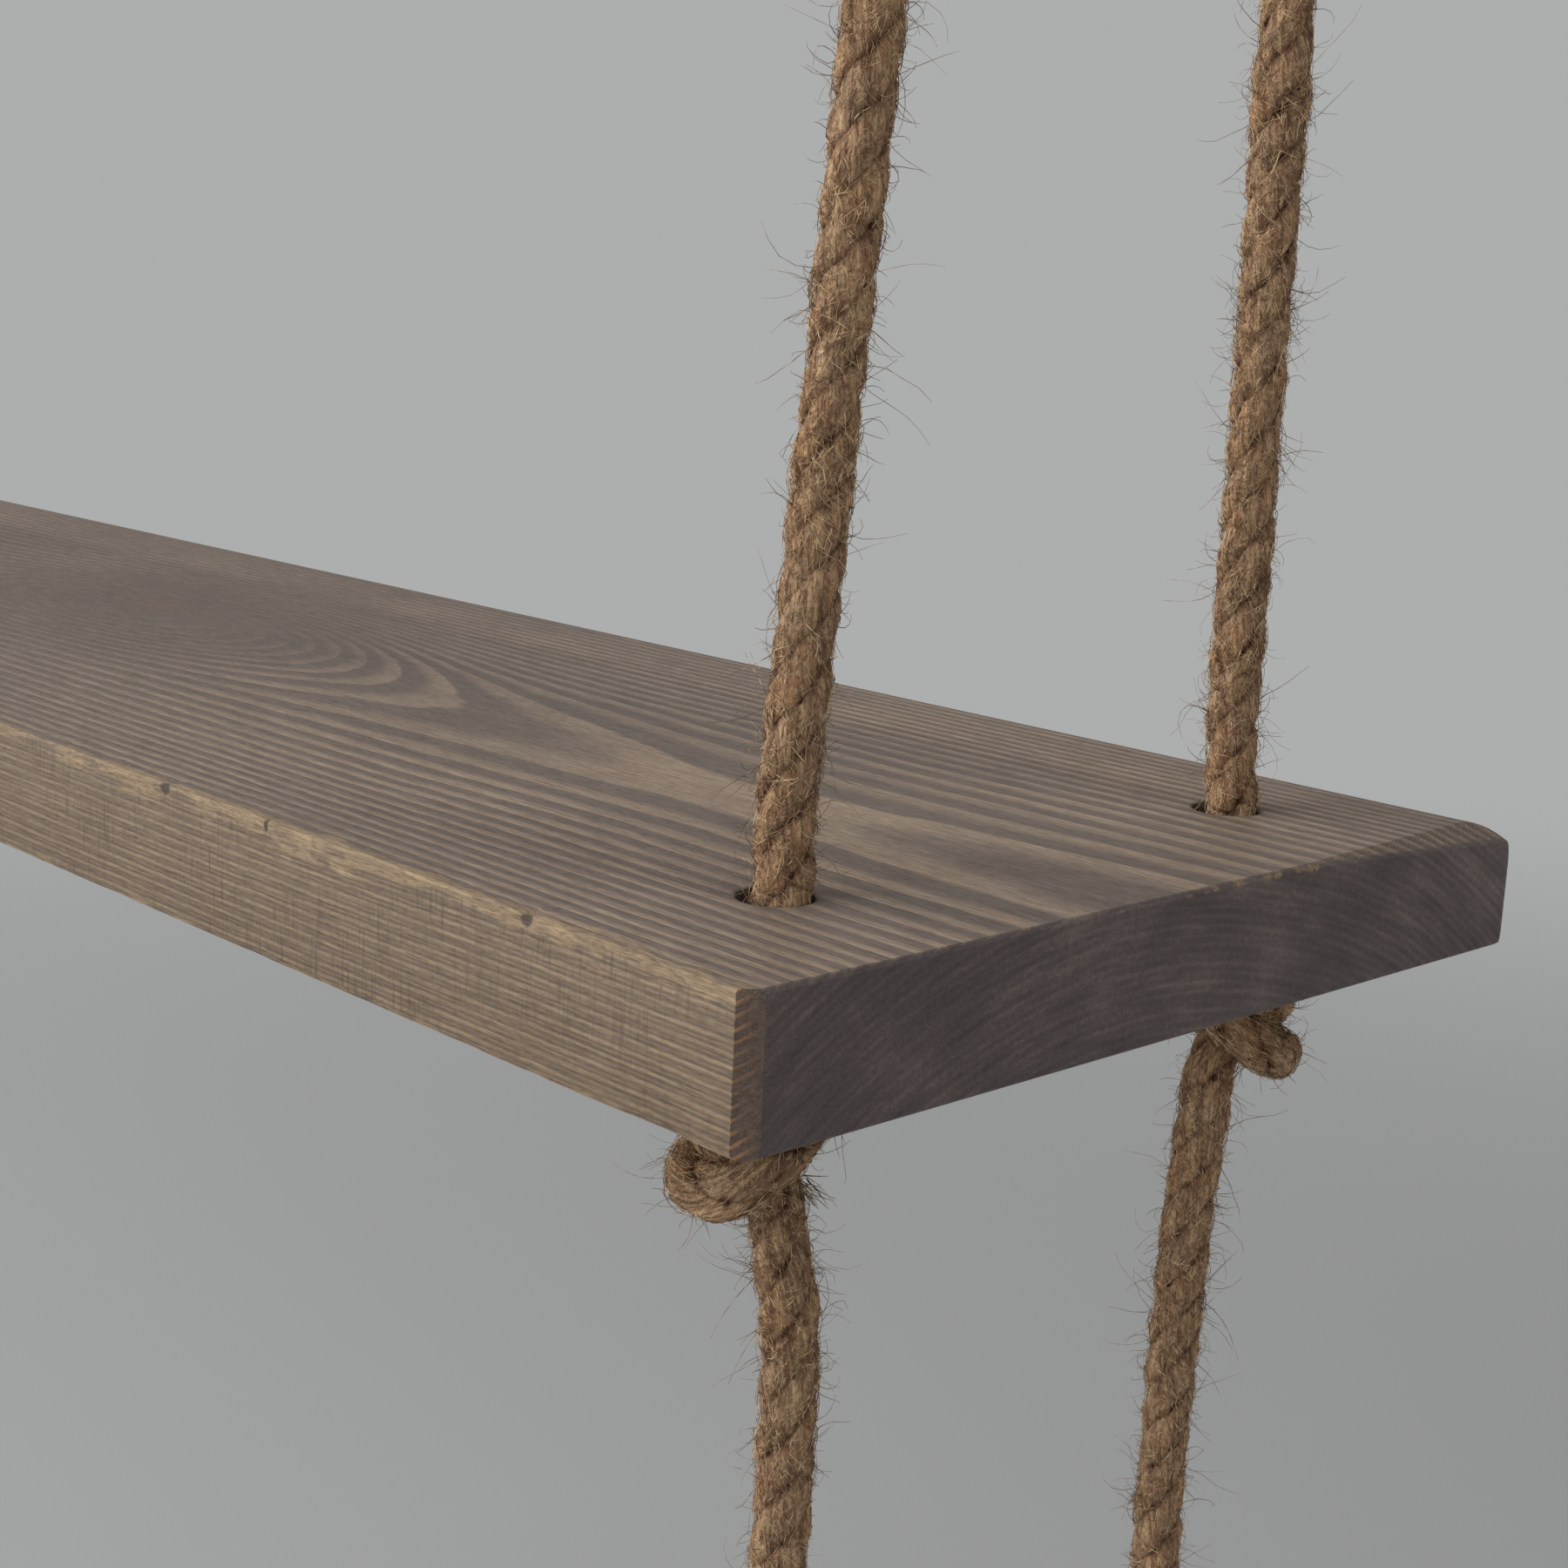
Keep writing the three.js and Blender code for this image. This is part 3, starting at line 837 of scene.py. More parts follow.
# Growth rings: circles about a middle line under the board, pressed aside by a knot
RING_WIDTH = 0.00128
PITH_DEPTH = 0.110
PITH_FROM_FRONT = 0.067
BACK_SIDE_SHARE = 0.88
RING_SHIFT = 40.3
# Each is a distance from the right end and from the front, a reach along and across, and rings
RING_SWELLS = [
    (0.276, 0.081, 0.071, 0.029, -10.0),
    (0.075, 0.067, 0.045, 0.034, 0.45),
    (0.470, 0.046, 0.060, 0.022, -8.0),
]


def ring_phase(x, y, z, place):
    """Where a place lies in its ring, from 0 to 1, its place round the pith, and the knot's swell."""
    y_off = y - (board_low.y + PITH_FROM_FRONT)
    y_off = y_off.maths("MAXIMUM", 0.0) * BACK_SIDE_SHARE + y_off.maths("MINIMUM", 0.0)
    z_off = z - (board_high.z - PITH_DEPTH)
    radius = y_off.length_with(z_off)
    arc = y_off.maths("ARCTAN2", z_off) * PITH_DEPTH
    round_pith = x.node("ShaderNodeCombineXYZ", {0: x, 1: arc, 2: radius})
    rings = (radius - PITH_DEPTH) / RING_WIDTH
    swells = []
    for from_end, from_front, long, wide, height in RING_SWELLS:
        dx = (x - (board_high.x - from_end)) / long
        dy = (y - (board_low.y + from_front)) / wide
        swells.append(((dx * dx + dy * dy) * -1.0).maths("EXPONENT"))
        rings = swells[-1] * height + rings
    rings = (place.grain((7, 28, 28), 0.2, 0.8) - 0.5) * 0.7 + rings
    rings = (place.grain((50, 420, 420), 0.2, 0.8, 2.0, (4, 1, 1)) - 0.5) * 0.13 + rings
    return (rings + RING_SHIFT).maths("FRACT"), round_pith, swells[0]


# How clear the rings are by the distance from the right end, where the stain soaked in more
PALE_STRETCH = [(0.0, 1.0), (0.13, 0.95), (0.23, 0.62), (0.31, 0.3), (0.46, 0.5), (0.56, 1.0)]
# How far the upper edge is worn, by the same distance
WORN_STRETCH = [(0.0, 0.95), (0.10, 1.0), (0.15, 0.7), (0.21, 0.35), (0.26, 0.45)]
# Pale lines of the front face, by the place in a ring
FRONT_LINES = [
    (0.0, 0.35), (0.1, 0.0), (0.27, 0.12), (0.37, 0.6), (0.47, 0.15), (0.62, 0.15), (0.76, 0.7),
    (0.86, 1.0), (1.0, 0.4),
]
# Brown stains of a knot and a resin streak: distance from the right end and from the front, half
# length and width, strength and colour
KNOT_STAINS = [
    (0.280, 0.088, 0.017, 0.007, 0.4, (126, 102, 83)),
    (0.067, 0.147, 0.0048, 0.0011, 0.75, (104, 74, 56)),
]
# How deep the front face's and the ends' own colours reach, and how far the edges are worn bare
FRONT_DEPTH = 0.0015
END_DEPTH = 0.0012
TOP_EDGE_WEAR = 0.0046
LOW_EDGE_WEAR = 0.0016
END_EDGE_WEAR = 0.0115
BRUISE_HEIGHT = 0.0016
HOLE_SHADE = 0.0010
WHITE = (255, 255, 255)


def board_material():
    """Softwood under a grey-brown stain: pale latewood lines, dark end grain, edges worn bare."""
    finish = Finish("stained_pine", 0.6, 0.3)
    place = finish.place
    parted = add_node(finish.tree, "ShaderNodeSeparateXYZ", {0: place}).outputs
    x, y, z = (Pattern(part) for part in parted)
    from_right = board_high.x - x
    from_end = board_high.x - x.maths("ABSOLUTE")
    from_front = y - board_low.y
    below_top = board_high.z - z
    clear = place.grain((14, 45, 45), 0.3, 0.62, 2.0, (3, 1, 5))
    streak = place.grain((130, 2600, 2600), 0.27, 0.73, 3.0)
    pores = place.grain((150, 4200, 4200), 0.3, 0.7, 1.5, (5, 2, 8))
    cloud = place.grain((16, 30, 30), 0.3, 0.7, 2.0, (8, 8, 2))
    speckle = place.grain((620, 3300, 3300), 0.28, 0.72, 2.0, (9, 4, 7))
    phase, round_pith, by_knot = ring_phase(x, y, z, place)
    soaked = from_right.ramp(*PALE_STRETCH)
    late = phase.ramp((0.0, 0.0), (0.40, 0.05), (0.66, 0.8), (0.93, 1.0), (1.0, 0.0))
    late = late * clear.ramp((0.0, 0.5), (1.0, 1.0)) * soaked
    late = late * by_knot.ramp((0.22, 1.0), (0.36, 0.6), (0.9, 0.15))
    early_colour = streak.ramp((0.0, (102, 90, 83)), (0.5, (117, 105, 97)), (1.0, (133, 120, 110)))
    late_colour = streak.ramp((0.0, (141, 121, 103)), (0.5, (163, 142, 121)), (1.0, (186, 166, 144)))
    colour = late.mix(early_colour, late_colour)
    colour = colour.tinted(cloud.ramp((0.0, (238, 236, 236)), (1.0, (255, 254, 250))))
    for to_right, to_front, long, wide, strength, stain in KNOT_STAINS:
        far = ((from_right - to_right) / long).length_with((from_front - to_front) / wide)
        spot = (cloud - 0.5) * 0.7 + far
        colour = spot.ramp((0.1, strength), (1.0, 0.0)).mix(colour, stain)

    # Front face: golden lines, with fine upright saw marks
    front = (from_front / FRONT_DEPTH).clamped().ramp((0.3, 1.0), (0.9, 0.0))
    front_early = streak.ramp((0.0, (98, 84, 72)), (1.0, (122, 106, 91)))
    front_late = streak.ramp((0.0, (134, 113, 89)), (1.0, (166, 142, 111)))
    front_colour = (phase.ramp(*FRONT_LINES) * soaked).mix(front_early, front_late)
    saw = place.grain((1700, 1, 110), 0.5, 0.72, 2.0)
    zone = place.grain((36, 1, 50), 0.36, 0.6, 1.0, (0, 0, 3))
    colour = front.mix(colour, (saw * zone * 0.7).mix(front_colour, (84, 72, 62)))

    # End grain takes more stain.
    end = (from_end / END_DEPTH).clamped().ramp((0.25, 1.0), (0.6, 0.0))
    cells = place.grain((400, 1100, 1100), 0.3, 0.7, 3.0, (1, 6, 2))
    soak = place.grain((1, 55, 80), 0.3, 0.7, 2.0, (1, 2, 6))
    bands = round_pith.grain((1, 110, 760), 0.3, 0.7, 2.5, (2, 2, 5))
    end_tone = late * 0.10 + cells * 0.24 + bands * 0.34 + soak * 0.32
    end_colour = end_tone.ramp((0.1, (79, 70, 71)), (0.5, (98, 87, 86)), (0.9, (130, 114, 107)))
    colour = end.mix(colour, end_colour)

    # The chamfered front corner: dark, with golden lines that fade towards the end
    across_strip = from_front / FRONT_CORNER_ACROSS
    strip = (from_end / FRONT_CORNER_ALONG + across_strip).maths("LESS_THAN", 1.05)
    patchy = place.grain((1, 1, 230), 0.36, 0.6, 1.0, (6, 2, 4))
    fade = cells * 0.3 + across_strip.maths("MINIMUM", 1.0) + patchy * -0.5
    claw = fade.ramp((0.0, 1.0), (0.7, 0.0)) * late.ramp((0.45, 0.0), (0.8, 0.85))
    strip_dark = cells.ramp((0.0, (91, 77, 69)), (1.0, (115, 97, 86)))
    colour = strip.mix(colour, claw.mix(strip_dark, (182, 134, 88)))

    # Edges worn to the bare wood, with small bruises
    ragged = place.grain((110, 420, 420), 0.2, 0.8, 3.0, (2, 7, 7))
    top_reach = ragged * TOP_EDGE_WEAR * from_right.ramp(*WORN_STRETCH) - 0.0002
    end_reach = ragged * (from_front * END_EDGE_WEAR + 0.0001)
    worn = ((top_reach - (below_top * 0.66 + from_front)) / 0.0008).clamped()
    end_worn = ((end_reach - (below_top * 0.8 + from_end)) / 0.0003).clamped()
    low_edge = from_front + (z - board_low.z)
    low_worn = ((ragged * LOW_EDGE_WEAR - low_edge) / 0.0004).clamped()
    worn = worn.either(end_worn.either(low_worn))
    worn = worn * speckle.ramp((0.1, 0.45), (0.55, 0.92)) * strip.ramp((0.0, 1.0), (1.0, 0.25))
    bare = streak.ramp((0.0, (118, 98, 76)), (0.5, (147, 125, 97)), (1.0, (178, 154, 121)))
    colour = worn.mix(colour, bare)
    for to_right, size in EDGE_BRUISES:
        bruise = x.near(board_high.x - to_right, size)
        bruise = bruise * z.near(board_high.z - BRUISE_HEIGHT / 2, BRUISE_HEIGHT) * front
        colour = bruise.ramp((0.2, 0.0), (0.45, 0.9)).mix(colour, (66, 55, 46))

    # Painted shade in and round the holes, partly the darker end grain of the hole walls; dark pores
    hole_x = x.maths("ABSOLUTE") - holes["front_right"].x
    for corner in ("front_right", "back_right"):
        rim = hole_x.length_with(y - holes[corner].y) - HOLE_RADIUS
        rim = (rim / HOLE_SHADE).clamped().ramp((0.02, 0.75), (0.8, 0.0))
        colour = rim.mix(colour, (72, 60, 52))
    colour = pores.ramp((0.05, 0.4), (0.25, 0.0)).mix(colour, (72, 62, 56))
    colour = colour.tinted(speckle.ramp((0.0, (214, 210, 207)), (0.6, (251, 251, 251)), (1.0, WHITE)))
    finish.give("Base Color", colour)
    finish.give("Roughness", late.ramp((0.0, 0.68), (1.0, 0.54)))
    finish.bump(cells * (end * 0.5) + late * 0.6 + streak * 0.7, 0.45, 0.00018)
    return finish.material


# The worn front edge: rows of points cut along it, how far wear reaches in from it and how deep
EDGE_ROWS = (0.0022, 0.0032, 0.0050, 0.0080)
TOP_WEAR_ZONE = 0.0040
TOP_WEAR_FADE = 0.0045
TOP_WEAR_DEPTH = 0.0008
LOW_WEAR_ZONE = 0.0020
LOW_WEAR_DEPTH = 0.0004
# Bruises of the front edge: distance from the right end, and half their length
EDGE_BRUISES = [(0.0400, 0.0016), (0.0985, 0.0009), (0.126, 0.0021), (0.221, 0.0020), (0.372, 0.0018)]


# Modelling by hand
def mode(name):
    bpy.ops.object.mode_set(mode=name)


def deselect_all():
    if bpy.context.object and bpy.context.object.mode != "OBJECT":
        mode("OBJECT")
    bpy.ops.object.select_all(action="DESELECT")


def bevel(width, segments):
    bpy.ops.mesh.bevel(offset=width, segments=segments, profile=0.5, affect="EDGES")


def draw_ring(vertices, radius, place, turn=(0, 0, 0)):
    """A filled ring of points, which wires and rods are drawn from."""
    deselect_all()
    bpy.ops.mesh.primitive_circle_add(
        vertices=vertices, radius=radius, fill_type="NGON", location=place, rotation=turn
    )
    bpy.ops.object.transform_apply(location=True, rotation=True)
    mode("EDIT")
    bpy.ops.mesh.select_all(action="SELECT")
    return bpy.context.object


def draw_on(step):
    bpy.ops.mesh.extrude_region_move(TRANSFORM_OT_translate={"value": step})


def apply_modifier(made, kind, **settings):
    modifier = made.modifiers.new(kind.lower(), kind)
    for key, value in settings.items():
        setattr(modifier, key, value)
    bpy.context.view_layer.objects.active = made
    bpy.ops.object.modifier_apply(modifier=modifier.name)


def select_edges(made, picked):
    """Selects, in edit mode, the edges whose two ends pass the test."""
    bpy.context.view_layer.objects.active = made
    mode("EDIT")
    bpy.ops.mesh.select_mode(type="EDGE")
    bpy.ops.mesh.select_all(action="DESELECT")
    mode("OBJECT")
    points = made.data.vertices
    for edge in made.data.edges:
        edge.select = bool(picked(points[edge.vertices[0]].co, points[edge.vertices[1]].co))
    mode("EDIT")


def same(a, b):
    return abs(a - b) < 1e-5


def cut_all(place, way, clear=False):
    """Cuts the whole mesh along a plane, and takes off what lies beyond it if asked to."""
    bpy.ops.mesh.select_all(action="SELECT")
    way = Vector(way).normalized()
    bpy.ops.mesh.bisect(
        plane_co=place, plane_no=way, clear_outer=clear, use_fill=clear, threshold=1e-6
    )


def make_board():
    deselect_all()
    bpy.ops.mesh.primitive_cube_add(size=1, location=board_middle, scale=board_high - board_low)
    board = bpy.context.object
    board.name = "stained_board"
    bpy.ops.object.transform_apply(location=True, rotation=False, scale=True)
    for y, z, width, segments in (
        (board_high.y, board_low.z, BACK_BOTTOM_ROUND, 5),
        (board_low.y, board_high.z, FRONT_TOP_EASE, 3),
        (board_low.y, board_low.z, FRONT_BOTTOM_EASE, 2),
    ):
        select_edges(board, lambda *ends: all(same(p.y, y) and same(p.z, z) for p in ends))
        bevel(width, segments)

    # The back's upper edge is planed round, wider than it is high.
    for i in range(10):
        angle = math.pi / 2 * (i + 0.5) / 10
        across = BACK_TOP_ROUND_WIDTH * (math.cos(angle) - 1)
        down = BACK_TOP_ROUND_HEIGHT * (math.sin(angle) - 1)
        way = (0, math.cos(angle) / BACK_TOP_ROUND_WIDTH, math.sin(angle) / BACK_TOP_ROUND_HEIGHT)
        cut_all((0, board_high.y + across, board_high.z + down), way, True)

    # Rows along the front edge, which is worn unevenly later
    for depth in EDGE_ROWS:
        cut_all((0, board_low.y + depth, 0), (0, 1, 0))
        cut_all((0, 0, board_high.z - depth), (0, 0, 1))
    mode("OBJECT")
    length = board_high.x - board_low.x
    last_row = board_low.y + EDGE_ROWS[-1] + 0.0001
    for cuts, longer in ((14, 0.9 * length), (29, 0.9 * length / 15)):
        select_edges(board, lambda a, b: abs(a.x - b.x) > longer and a.y < last_row)
        bpy.ops.mesh.subdivide(number_cuts=cuts, quadcorner="INNERVERT")
        mode("OBJECT")

    # Chamfered corners, eased ends, and the ends worn down towards the back
    mode("EDIT")
    for side in (-1, 1):
        end = side * board_high.x
        front_way = (side / FRONT_CORNER_ALONG, -1 / FRONT_CORNER_ACROSS, 0)
        back_way = (side / BACK_CORNER_ALONG, 1 / BACK_CORNER_ACROSS, 0)
        cut_all((end, board_low.y + FRONT_CORNER_ACROSS, 0), front_way, True)
        cut_all((end, board_high.y - BACK_CORNER_ACROSS, 0), back_way, True)
        cut_all((end, 0, board_low.z + END_EASE), (side, 0, -1), True)
        cut_all((end, 0, board_high.z - END_EASE), (side, 0, 1), True)
        start = Vector((end, board_high.y - END_WEAR_REACH, board_high.z))
        along_down = Vector((0, END_WEAR_REACH, -END_WEAR_DEPTH))
        along_in = Vector((-side * END_WEAR_DEPTH, END_WEAR_REACH, 0))
        way = along_down.cross(along_in)
        cut_all(start, way if way.z > 0 else -way, True)
    mode("OBJECT")

    for hole in holes.values():
        deselect_all()
        bpy.ops.mesh.primitive_cylinder_add(
            vertices=48, radius=HOLE_RADIUS, depth=0.06, location=(hole.x, hole.y, board_middle.z)
        )
        drill = bpy.context.object
        apply_modifier(board, "BOOLEAN", operation="DIFFERENCE", object=drill, solver="EXACT")
        bpy.data.objects.remove(drill)

    def rim(a, b):
        for hole in holes.values():
            if all(same(math.hypot(p.x - hole.x, p.y - hole.y), HOLE_RADIUS) for p in (a, b)):
                return same(a.z, b.z)
        return False

    select_edges(board, rim)
    bevel(HOLE_RIM, 2)
    mode("OBJECT")
    return board


def wear_board(board):
    """Moves the points of the long front edges: the upper one is bruised, the lower one worn."""
    for vertex in board.data.vertices:
        p = vertex.co
        front = p.y - board_low.y
        top = board_high.z - p.z
        bottom = p.z - board_low.z
        push = Vector((0, 0, 0))
        if front < TOP_WEAR_ZONE and top < TOP_WEAR_ZONE:
            bite = noise.noise(Vector((p.x * 60, 1.5, 0)))
            bite += 0.5 * noise.noise(Vector((p.x * 260, 7, p.z * 200)))
            for from_right, size in EDGE_BRUISES:
                bite += 0.9 * max(0, 1 - abs(p.x - board_high.x + from_right) / size)
            share = max(0, 1 - (front + top) / TOP_WEAR_FADE)
            push += Vector((0, 0.55, -0.45)) * max(0, bite + 0.15) * TOP_WEAR_DEPTH * share
        if front < LOW_WEAR_ZONE and bottom < LOW_WEAR_ZONE:
            bite = noise.noise(Vector((p.x * 130, 4.5, 2)))
            push += Vector((0, 0.5, 0.5)) * max(0, bite) * LOW_WEAR_DEPTH
        vertex.co = p + push
    board.data.update()


def make_hook():
    """One screw hook with its collar's top at the origin: wire, collar, shank and thread."""
    wire_z = joint_place("swing_front_right").z
    middle = wire_z + HOOK_BEND_RADIUS
    lean = math.radians(45)
    start = middle + HOOK_BEND_RADIUS * math.sin(lean)
    run = (HOOK_BEND_RADIUS * math.cos(lean) - NECK_RADIUS * (1 - math.cos(lean))) / math.sin(lean)
    neck_top = start + NECK_RADIUS * math.sin(lean) + run * math.cos(lean)
    wire = draw_ring(20, WIRE_RADIUS, (0, 0, neck_top))
    bpy.ops.mesh.spin(steps=8, angle=lean, center=(NECK_RADIUS, 0, neck_top), axis=(0, 1, 0))
    draw_on(Vector((math.sin(lean), 0, -math.cos(lean))) * run)
    turn = lean + math.radians(182)
    bpy.ops.mesh.spin(steps=40, angle=-turn, center=(0, 0, middle), axis=(0, 1, 0))
    mode("OBJECT")
    end = Vector((-HOOK_BEND_RADIUS, 0, middle))
    out = end + (end - Vector((0, 0, middle))) * 0.7
    mode("EDIT")
    bpy.ops.mesh.spin(steps=6, angle=math.radians(24), center=out, axis=(0, 1, 0))
    bpy.ops.mesh.region_to_loop()
    bevel(WIRE_RADIUS * 0.6, 4)
    mode("OBJECT")
    parts = [wire]

    # Collar with eased rims
    deselect_all()
    bpy.ops.mesh.primitive_cylinder_add(
        vertices=32, radius=COLLAR_RADIUS, depth=COLLAR_THICKNESS, location=(0, 0, -COLLAR_THICKNESS / 2)
    )
    collar = bpy.context.object
    bpy.ops.object.transform_apply(location=True)
    select_edges(collar, lambda a, b: same(a.z, b.z))
    bevel(0.0005, 3)
    mode("OBJECT")
    parts.append(collar)

    # Shank, drawn to a point
    shank = draw_ring(20, THREAD_CORE_RADIUS, (0, 0, -0.001))
    draw_on((0, 0, THREAD_LENGTH - THREAD_TIP + 0.001))
    draw_on((0, 0, THREAD_TIP))
    bpy.ops.transform.resize(value=(0.06, 0.06, 1))
    mode("OBJECT")
    parts.append(shank)

    # Thread: a small triangle wound round the shank
    upright = (math.radians(90), math.radians(90), 0)
    thread = draw_ring(3, 0.0006, (THREAD_CORE_RADIUS, 0, THREAD_START), upright)
    bpy.ops.mesh.delete(type="ONLY_FACE")
    mode("OBJECT")
    turns = (THREAD_LENGTH - THREAD_START - THREAD_END_GAP) / THREAD_PITCH
    apply_modifier(
        thread,
        "SCREW",
        axis="Z",
        angle=2 * math.pi * turns,
        screw_offset=turns * THREAD_PITCH,
        steps=round(18 * turns),
        render_steps=round(18 * turns),
    )
    mode("EDIT")
    bpy.ops.mesh.select_mode(type="EDGE")
    bpy.ops.mesh.select_all(action="DESELECT")
    bpy.ops.mesh.select_non_manifold()
    bpy.ops.mesh.fill()
    mode("OBJECT")
    for vertex in thread.data.vertices:
        over = (vertex.co.z - (THREAD_LENGTH - THREAD_TIP)) / THREAD_TIP
        if over > 0:
            vertex.co.xy *= max(0.08, 1 - 0.92 * over)
    parts.append(thread)

    deselect_all()
    for part in parts:
        part.select_set(True)
    bpy.context.view_layer.objects.active = wire
    bpy.ops.object.join()
    mode("EDIT")
    bpy.ops.mesh.select_all(action="SELECT")
    bpy.ops.mesh.remove_doubles(threshold=0.000005)
    bpy.ops.mesh.normals_make_consistent(inside=False)
    mode("OBJECT")
    bpy.ops.object.shade_smooth_by_angle(angle=math.radians(40))
    wire.data.materials.append(materials["zinc"])
    return wire


# Floor, background and light
BACKGROUND = paint((173, 174, 174))
FLOOR_DROP = 0.42
FLOOR_RADIUS = 4.0
LAMP_AIM = Vector((0.1, 0, -0.2))
WORLD_STRENGTH = 0.38


def make_floor():
    deselect_all()
    bpy.ops.mesh.primitive_circle_add(
        vertices=96, radius=FLOOR_RADIUS, fill_type="NGON", location=(0, 0, cad_low.z - FLOOR_DROP)
    )
    floor = bpy.context.object
    floor.name = "floor"
    finish = Finish("pale_floor", 1.0, 0.0)
    finish.give("Base Color", BACKGROUND)
    far = finish.place.node("ShaderNodeVectorMath", {0: finish.place}, "Value", operation="LENGTH")
    fade = (far / FLOOR_RADIUS).ramp((0.2, 0.0), (0.75, 1.0), interpolation="EASE")
    below = finish.found("ShaderNodeNewGeometry", "Backfacing")
    clear = finish.found("ShaderNodeBsdfTransparent", 0)
    inputs = {0: fade.either(below), 1: finish.shader.outputs[0], 2: clear}
    mixed = fade.node("ShaderNodeMixShader", inputs)
    give(finish.tree.nodes["Material Output"].inputs["Surface"], mixed)
    floor.data.materials.append(finish.material)


def make_world():
    world = bpy.data.worlds.new("studio")
    bpy.context.scene.world = world
    world.use_nodes = True
    tree = world.node_tree
    light = tree.nodes["Background"]
    light.inputs["Color"].default_value = (1, 1, 1, 1)
    light.inputs["Strength"].default_value = WORLD_STRENGTH
    shown = add_node(tree, "ShaderNodeBackground", {"Color": BACKGROUND, "Strength": 1.0})
    path = add_node(tree, "ShaderNodeLightPath").outputs
    plain = Pattern(path["Is Camera Ray"]).either(path["Is Glossy Ray"])
    plain = plain.either(path["Is Transmission Ray"])
    mixed = plain.node("ShaderNodeMixShader", {0: plain, 1: light.outputs[0], 2: shown.outputs[0]})
    give(tree.nodes["World Output"].inputs["Surface"], mixed)


def make_lamp(name, place, size, power):
    data = bpy.data.lights.new(name, "AREA")
    data.shape = "SQUARE"
    data.size = size
    data.energy = power
    lamp = bpy.data.objects.new(name, data)
    bpy.context.scene.collection.objects.link(lamp)
    lamp.location = place
    lamp.rotation_euler = (LAMP_AIM - Vector(place)).to_track_quat("-Z", "Y").to_euler()


def dress(corner):
    """All rope pieces of one corner, from its eye down."""
    seed = 100 * (1 + list(CORNERS).index(corner))
    rope, at = lay_rope(corner, seed)
    eye_body, span_body = "eye_" + corner, "span_" + corner
    bend_body = "bend_front_right" if corner == "front_right" else "shelf"
    bend = round(BEND_REACH / RING_STEP)
    throat, above, in_hole = at["span"], at["hole"] - bend, at["hole"] + bend
    tail_start, end_start, last = at["tail"], at["end"], at["last"]

    def rope_part(word, body, first, last, *nodes):
        strands = Strands()
        strands.add_rope(rope, first, last)
        if word == "eye_splice":
            add_tucks(strands, rope, last, corner)
        piece = strands.made(word + "_" + corner)
        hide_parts(*(node + "_" + corner for node in nodes))
        if body == span_body:
            below = rope.line[first + BLEND_RINGS]
            start = tuple(2 * rope.line[first] - below)
            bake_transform(piece)
        else:
            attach(piece, body)
        return piece

    def fuzz_part(word, body, first, last, draw, *amounts, more=()):
        piece = fuzz(word + "_" + corner, rope, first, last, seed + draw, *amounts, more=more)
        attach(piece, body)
        return piece

    rope_part("eye_splice", eye_body, 0, throat, "rope_eye")
    fuzz_part("eye_fibres", eye_body, 8, throat, 0, 6.0, 9.0)
    span = rope_part("span_rope", span_body, throat, above, "rope_span")
    more = frayed_place(rope, FRAYED_HEIGHT, seed + 7) if corner == "back_right" else ()
    span_fibres = fuzz_part("span_fibres", span_body, throat + 3, above + 4, 1, more=more)
    rope_part("mouth_rope", bend_body, above, in_hole, "rope_bend")
    fuzz_part("mouth_fibres", bend_body, above + 4, at["hole"] + 1, 6, 14.0, 16.0)
    rope_part("knotted_rope", "shelf", in_hole, tail_start, "rope_in_hole", "board_knot")
    more = []
    if corner == "front_right":
        place = Vector((holes[corner].x, holes[corner].y, board_low.z)) + TUFT_PLACE
        more.append(tuft(np.random.default_rng(seed + 8), place, TUFT_WAY, TUFT_COUNT))
    fuzz_part("knot_fibres", "shelf", at["knot"] + 2, tail_start, 2, 6.0, 15.0, more=more)
    tail = rope_part("tail_rope", "shelf", tail_start, end_start, "rope_tail")
    tail_fibres = fuzz_part("tail_fibres", "shelf", tail_start, end_start, 3)
    tied = rope_part("tied_end", "shelf", end_start, last, "end_knot")
    tied_fibres = fuzz_part("tied_end_fibres", "shelf", end_start, last, 4, 6.0, 12.0)
    frayed = fibre_piece("frayed_end_" + corner, frayed_fibres(np.random.default_rng(seed + 5), rope))
    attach(frayed, "shelf")


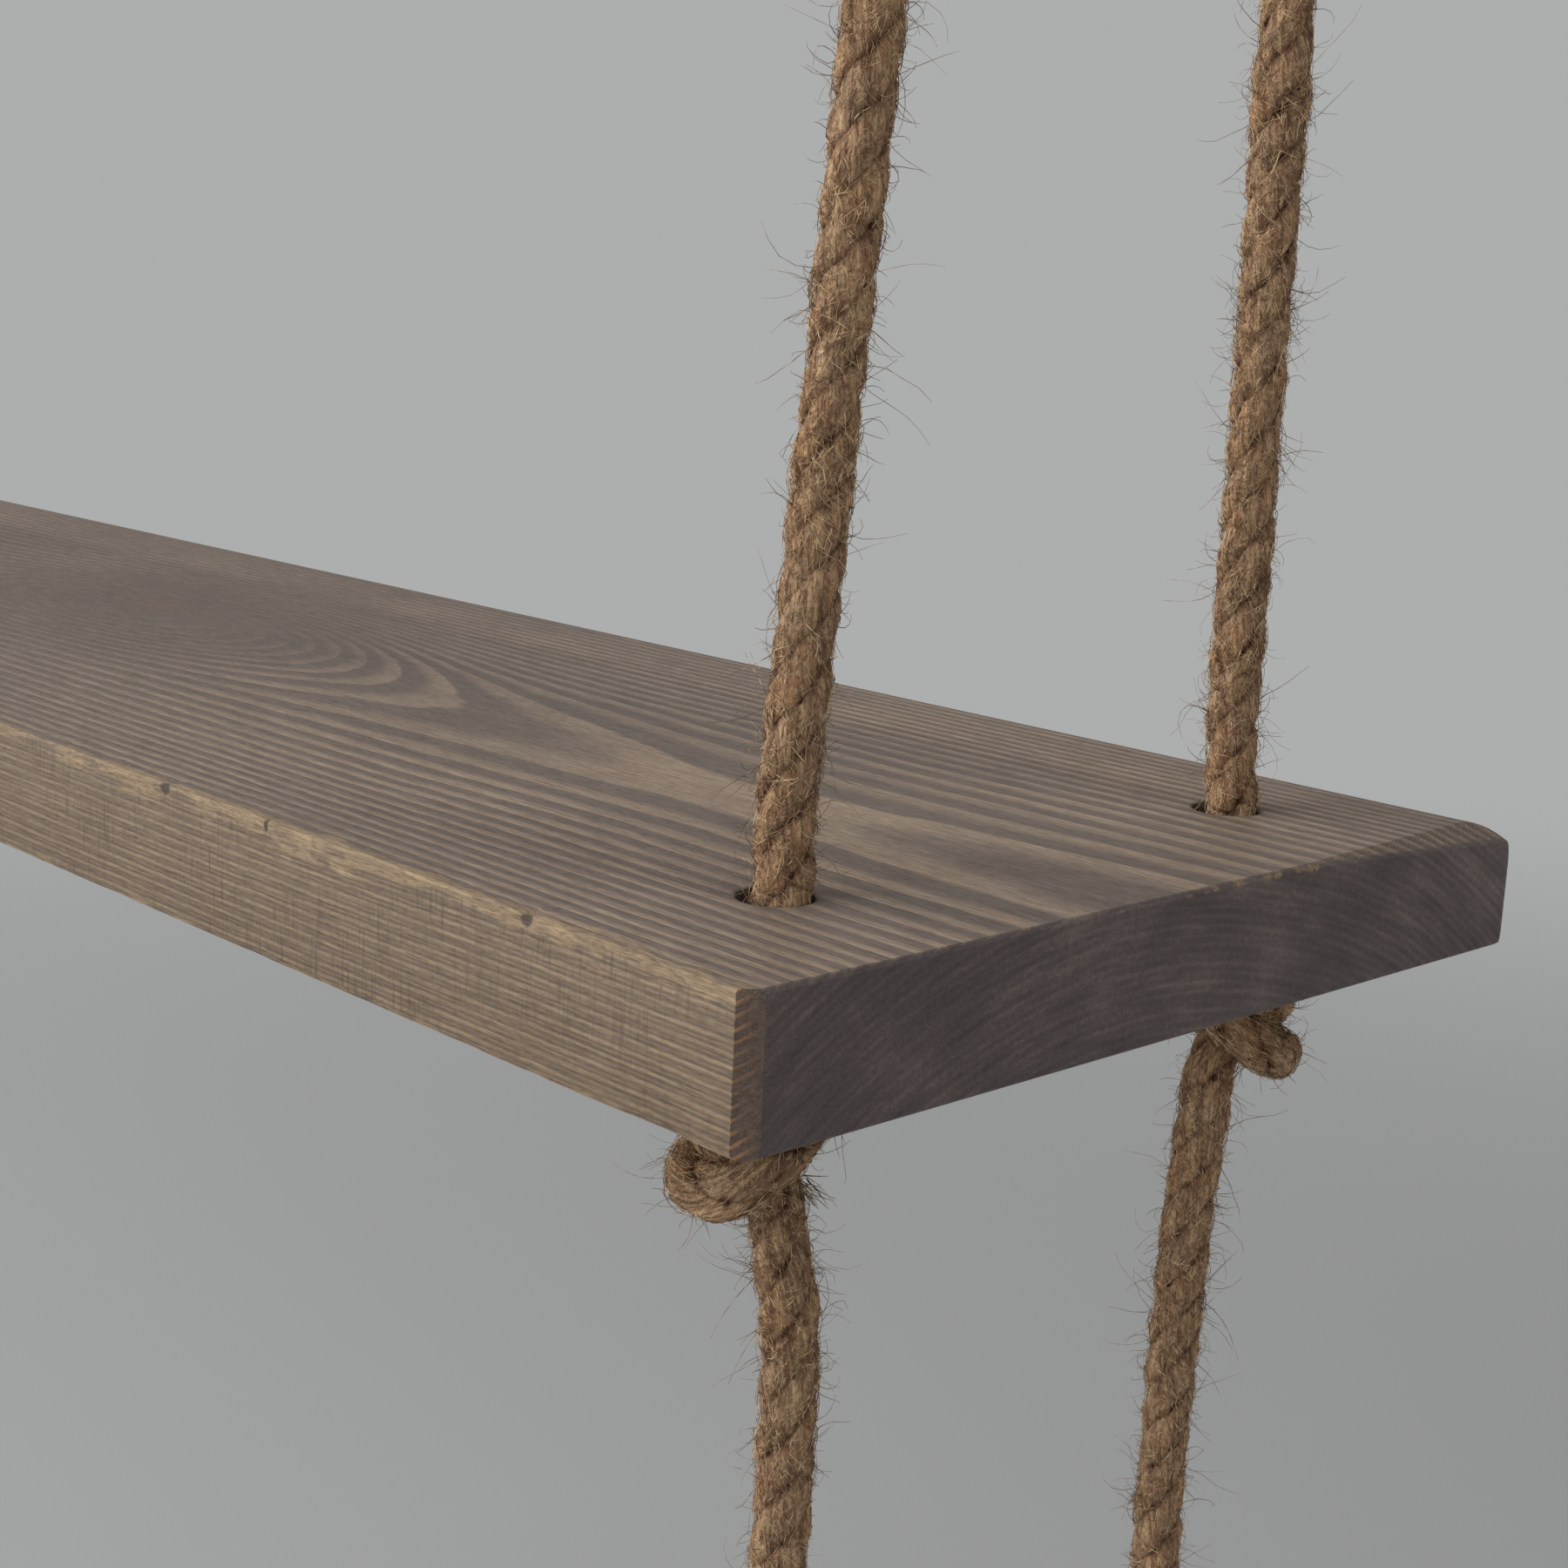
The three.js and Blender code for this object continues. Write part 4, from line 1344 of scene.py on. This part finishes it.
def add_tucks(strands, rope, throat, corner):
    """The end strands, tucked over and under the standing part below the eye."""
    wire = joint_place("swing_" + corner)
    top = EYE_DROP + EYE_LEG_SPREAD * 0.3
    far = np.linalg.norm(rope.line - np.array(tuple(wire)), axis=1)
    first = throat - int((far[throat] - top) / RING_STEP)
    at = np.arange(first, throat - 1)
    share = (at - first) / (len(at) - 1)
    for k in range(3):
        local = rope.places[at] - rope.places[first]
        angle = rope.turns[first] - 2 * math.pi * local / TUCK_LAY + 2 * math.pi * k / 3
        weave = np.cos(3 * (angle - rope.turns[at]) / 2)
        ring = ROPE_RADIUS * (1.0 - 0.2 * share) + TUCK_WEAVE * weave * (1 - 0.4 * share)
        outward = rope.outward(at, angle)
        centres = rope.line[at] + outward * ring[:, None]
        forward = unit(np.gradient(centres, axis=0))
        size = TUCK_RADIUS * (1 - 0.45 * share) * np.minimum(1, 0.4 + share * 10)
        strands.add(centres, outward, np.cross(forward, outward), size, size, rope.places[at], 11.0 + k)


make_camera()
grain_group = make_grain_group()
materials = {
    "rope": rope_material(),
    "fibre": fibre_material(),
    "zinc": zinc_material(),
    "board": board_material(),
}
for corner in CORNERS:
    dress(corner)

board = make_board()
wear_board(board)
deselect_all()
board.select_set(True)
bpy.context.view_layer.objects.active = board
bpy.ops.object.shade_smooth_by_angle(angle=math.radians(32))
board.data.materials.append(materials["board"])
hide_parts("shelf_board")
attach(board, "shelf")

pattern = make_hook()
for corner in CORNERS:
    wire = joint_place("swing_" + corner)
    hook = pattern.copy()
    hook.data = pattern.data.copy()
    hook.name = "screw_hook_" + corner
    bpy.context.scene.collection.objects.link(hook)
    hook.data.transform(Matrix.Translation((wire.x, wire.y, 0)))
    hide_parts("ceiling_hook_" + corner)
    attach(hook, "hooks")
bpy.data.objects.remove(pattern)

make_floor()
make_world()
make_lamp("key_lamp", (-1.0, -1.55, 1.15), 2.6, 60)
make_lamp("fill_lamp", (1.6, -0.9, 0.5), 1.4, 5)
make_lamp("low_lamp", (-1.6, -2.2, -0.3), 1.0, 15)
bpy.context.scene.view_settings.view_transform = "Standard"
